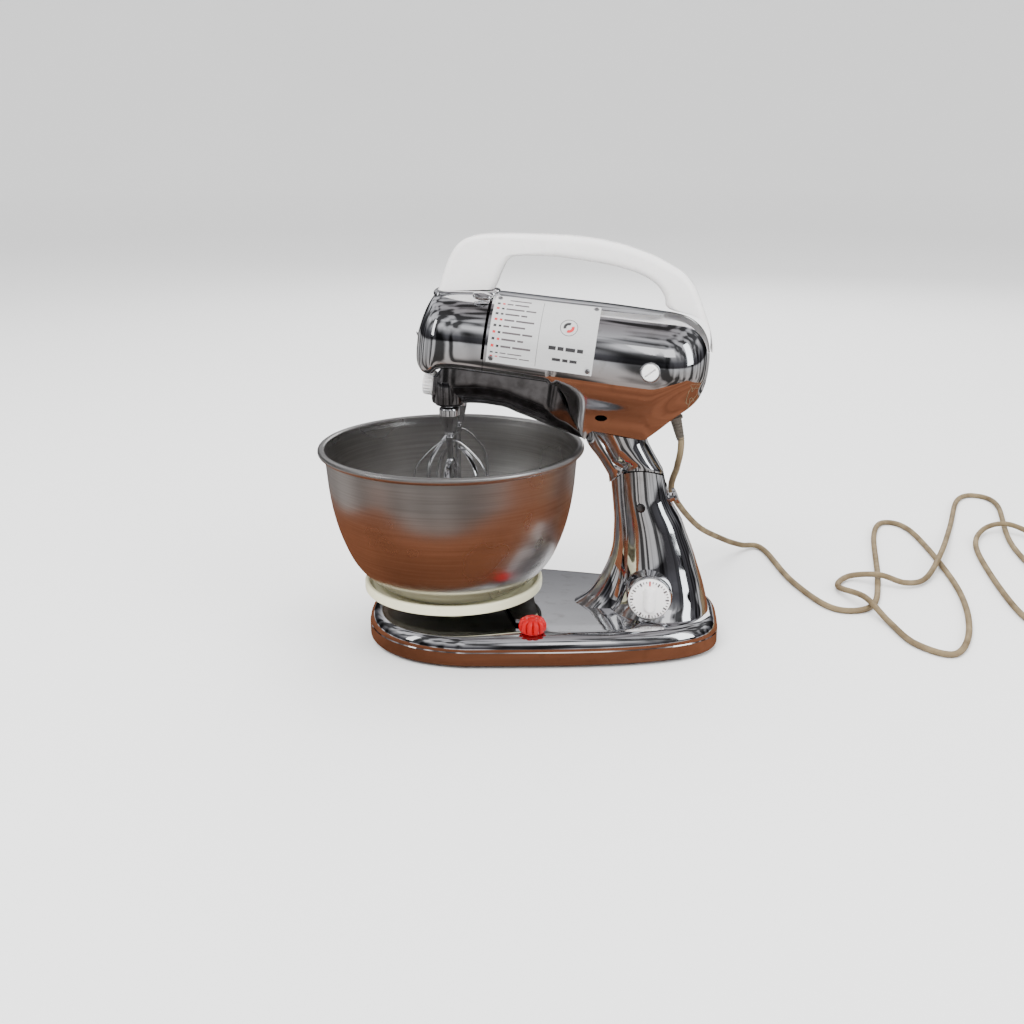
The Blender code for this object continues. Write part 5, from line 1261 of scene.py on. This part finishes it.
def stage_plane(name, corners, material, seen_by):
    """A flat stage sheet; seen_by names the rays that meet it."""
    mesh = bpy.data.meshes.new(name)
    mesh.from_pydata(corners, [], [tuple(range(len(corners)))])
    mesh.materials.append(material)
    obj = bpy.data.objects.new(name, mesh)
    bpy.context.collection.objects.link(obj)
    limit_rays(obj, seen_by)
    return obj


def limit_rays(obj, seen_by):
    for ray in ("camera", "diffuse", "glossy", "transmission", "shadow"):
        setattr(obj, "visible_" + ray, ray in seen_by)


def build_room():
    """Dark horizon and pale ceiling that only mirror-like surfaces see."""
    mesh = bpy.data.meshes.new("room")
    bm = bmesh.new()
    bmesh.ops.create_uvsphere(bm, u_segments=48, v_segments=24, radius=6.0)
    bm.to_mesh(mesh)
    bm.free()
    material = emitter("room_light", (1.0, 1.0, 1.0), 1.0)
    tree = material.node_tree
    light = tree.nodes["Emission"]
    place = tree.nodes.new("ShaderNodeTexCoord")
    split = tree.nodes.new("ShaderNodeSeparateXYZ")
    height = tree.nodes.new("ShaderNodeMapRange")
    height.inputs["From Min"].default_value = -6.0
    height.inputs["From Max"].default_value = 6.0
    ramp = tree.nodes.new("ShaderNodeValToRGB")
    stops = [(0.0, (0.16, 0.12, 0.10)), (0.42, (0.26, 0.25, 0.245)), (0.495, (0.30, 0.30, 0.305)),
             (0.515, (0.022, 0.021, 0.023)), (0.60, (0.045, 0.045, 0.05)), (0.68, (0.16, 0.16, 0.165)),
             (0.76, (0.40, 0.40, 0.41)), (0.88, (0.30, 0.30, 0.31)), (1.0, (0.16, 0.15, 0.155))]
    elements = ramp.color_ramp.elements
    while len(elements) < len(stops):
        elements.new(0.5)
    for element, (position, colour) in zip(elements, stops):
        element.position = position
        element.color = (*colour, 1.0)
    upright = tree.nodes.new("ShaderNodeMapping")
    upright.inputs["Scale"].default_value = (1.0, 1.0, 0.12)
    noise = tree.nodes.new("ShaderNodeTexNoise")
    noise.inputs["Scale"].default_value = 1.15
    noise.inputs["Detail"].default_value = 0.6
    bands = tree.nodes.new("ShaderNodeMapRange")
    for socket, value in (("From Min", 0.40), ("From Max", 0.60), ("To Min", 0.08), ("To Max", 1.8)):
        bands.inputs[socket].default_value = value
    mix = tree.nodes.new("ShaderNodeMixRGB")
    mix.blend_type = "MULTIPLY"
    mix.inputs["Fac"].default_value = 0.9
    tree.links.new(place.outputs["Object"], split.inputs["Vector"])
    tree.links.new(place.outputs["Object"], upright.inputs["Vector"])
    tree.links.new(upright.outputs["Vector"], noise.inputs["Vector"])
    tree.links.new(noise.outputs["Fac"], bands.inputs["Value"])
    tree.links.new(split.outputs["Z"], height.inputs["Value"])
    tree.links.new(height.outputs["Result"], ramp.inputs["Fac"])
    tree.links.new(ramp.outputs["Color"], mix.inputs["Color1"])
    tree.links.new(bands.outputs["Result"], mix.inputs["Color2"])
    tree.links.new(mix.outputs["Color"], light.inputs["Color"])
    light.inputs["Strength"].default_value = 1.5
    mesh.materials.append(material)
    room = bpy.data.objects.new("room", mesh)
    bpy.context.collection.objects.link(room)
    limit_rays(room, ("glossy",))


def window(name, azimuth, low, high, width, distance, strength, colour=(1.0, 1.0, 1.0)):
    """A tall bright opening that only mirror-like surfaces see; azimuth 0 is behind the camera."""
    a = math.radians(azimuth)
    centre = Vector((math.sin(a) * distance, -math.cos(a) * distance, 0.0))
    side = Vector((math.cos(a), math.sin(a), 0.0)) * width / 2
    corners = [centre - side + Vector((0, 0, low)), centre + side + Vector((0, 0, low)),
               centre + side + Vector((0, 0, high)), centre - side + Vector((0, 0, high))]
    stage_plane(name, corners, emitter(name + "_light", colour, strength), ("glossy",))


def area_light(name, place, aim, size, power, colour=(1.0, 1.0, 1.0)):
    data = bpy.data.lights.new(name, "AREA")
    data.shape = "RECTANGLE"
    data.size, data.size_y = size
    data.energy = power
    data.color = colour
    lamp = bpy.data.objects.new(name, data)
    lamp.location = place
    lamp.rotation_euler = (Vector(aim) - Vector(place)).to_track_quat("-Z", "Y").to_euler()
    bpy.context.collection.objects.link(lamp)
    lamp.visible_camera = False
    lamp.visible_glossy = False


def build_studio():
    pale = Finish("studio_floor", (0.86, 0.86, 0.855), 0.9)
    pale.drive("Base Color", pale.ramp(pale.noise(0.6, 2.0), (0.85, 0.85, 0.845), (0.87, 0.87, 0.866)))
    steps = 72
    profile = [(0.0, 0.0), (5.0, 0.0)]
    profile += [(5.0 + 4.0 * math.sin(math.radians(7.5 * k)), 4.0 - 4.0 * math.cos(math.radians(7.5 * k)))
                for k in range(1, 13)]
    verts, faces = turned(profile, steps)
    mesh = bpy.data.meshes.new("floor")
    mesh.from_pydata(verts, [], faces)
    mesh.materials.append(pale.material)
    floor = bpy.data.objects.new("floor", mesh)
    bpy.context.collection.objects.link(floor)
    mesh.shade_smooth()
    limit_rays(floor, ("camera", "diffuse", "shadow", "transmission"))
    table = Finish("table_top", (0.22, 0.075, 0.026), 0.45)
    grain = table.noise(2.2, 6.0, (1.0, 7.0, 1.0))
    table.set("Specular IOR Level", 0.0)
    table.drive("Base Color", table.ramp(grain, (0.075, 0.028, 0.014), (0.145, 0.056, 0.029), 0.3, 0.7))
    square = [(-0.42, -0.27, 0.0003), (0.50, -0.27, 0.0003), (0.50, 0.34, 0.0003), (-0.42, 0.34, 0.0003)]
    stage_plane("table_reflection", square, table.material, ("glossy",))
    build_room()
    window("window_right", 62, 0.35, 2.6, 0.75, 2.4, 4.0, (0.93, 0.98, 1.0))
    window("window_front", 18, 1.3, 2.3, 0.7, 2.6, 1.6)
    window("window_left", -58, 0.5, 2.3, 0.40, 2.6, 2.6)
    window("window_back", 160, 0.6, 2.4, 0.9, 2.8, 2.6)

    area_light("key", (-0.9, -1.6, 2.2), (0.0, 0.0, 0.15), (1.6, 1.2), 80.0)
    area_light("fill", (1.9, -1.2, 1.4), (0.05, 0.0, 0.15), (1.4, 1.4), 40.0, (0.97, 0.99, 1.0))
    area_light("top", (0.1, 0.4, 2.4), (0.0, 0.0, 0.1), (2.2, 2.2), 60.0)
    area_light("back", (0.3, 2.4, 1.4), (0.0, 0.0, 0.2), (1.6, 1.0), 26.0)
    world_light = bpy.data.worlds.new("studio")
    world_light.use_nodes = True
    background = world_light.node_tree.nodes["Background"]
    background.inputs["Color"].default_value = (0.97, 0.97, 0.975, 1.0)
    background.inputs["Strength"].default_value = 1.5
    bpy.context.scene.world = world_light


def build_camera():
    """Seen from the near side, a little to the rear and above."""
    place = Vector((0.1093, -1.0135, 0.4381))
    yaw, pitch, roll = math.radians(-6.581), math.radians(17.529), math.radians(-0.194)
    forward = Vector((math.sin(yaw) * math.cos(pitch), math.cos(yaw) * math.cos(pitch), -math.sin(pitch)))
    level = Vector((math.cos(yaw), -math.sin(yaw), 0.0))
    upright = level.cross(forward)
    right = level * math.cos(roll) + upright * math.sin(roll)
    up = right.cross(forward)
    data = bpy.data.cameras.new("view")
    data.lens = 42.0
    data.sensor_width = 36.0
    data.clip_start = 0.01
    camera = bpy.data.objects.new("view", data)
    turn = Matrix((right, up, -forward)).transposed().to_4x4()
    camera.matrix_world = Matrix.Translation(place) @ turn
    bpy.context.collection.objects.link(camera)
    bpy.context.scene.camera = camera


def main():
    build_camera()
    build_relief_and_cord()
    build_studio()
    build_stand()
    build_dial()
    build_shift_knob()
    build_bowl()
    build_rear_housing()
    build_nose_cap()
    build_gear_case()
    build_front_cap()
    build_handle()
    build_neck()
    build_plate()
    build_speed_ring()
    build_spindle("near", -SPINDLE_Y, 0.0)
    build_spindle("far", SPINDLE_Y, 45.0)
    dress_nodes()


main()
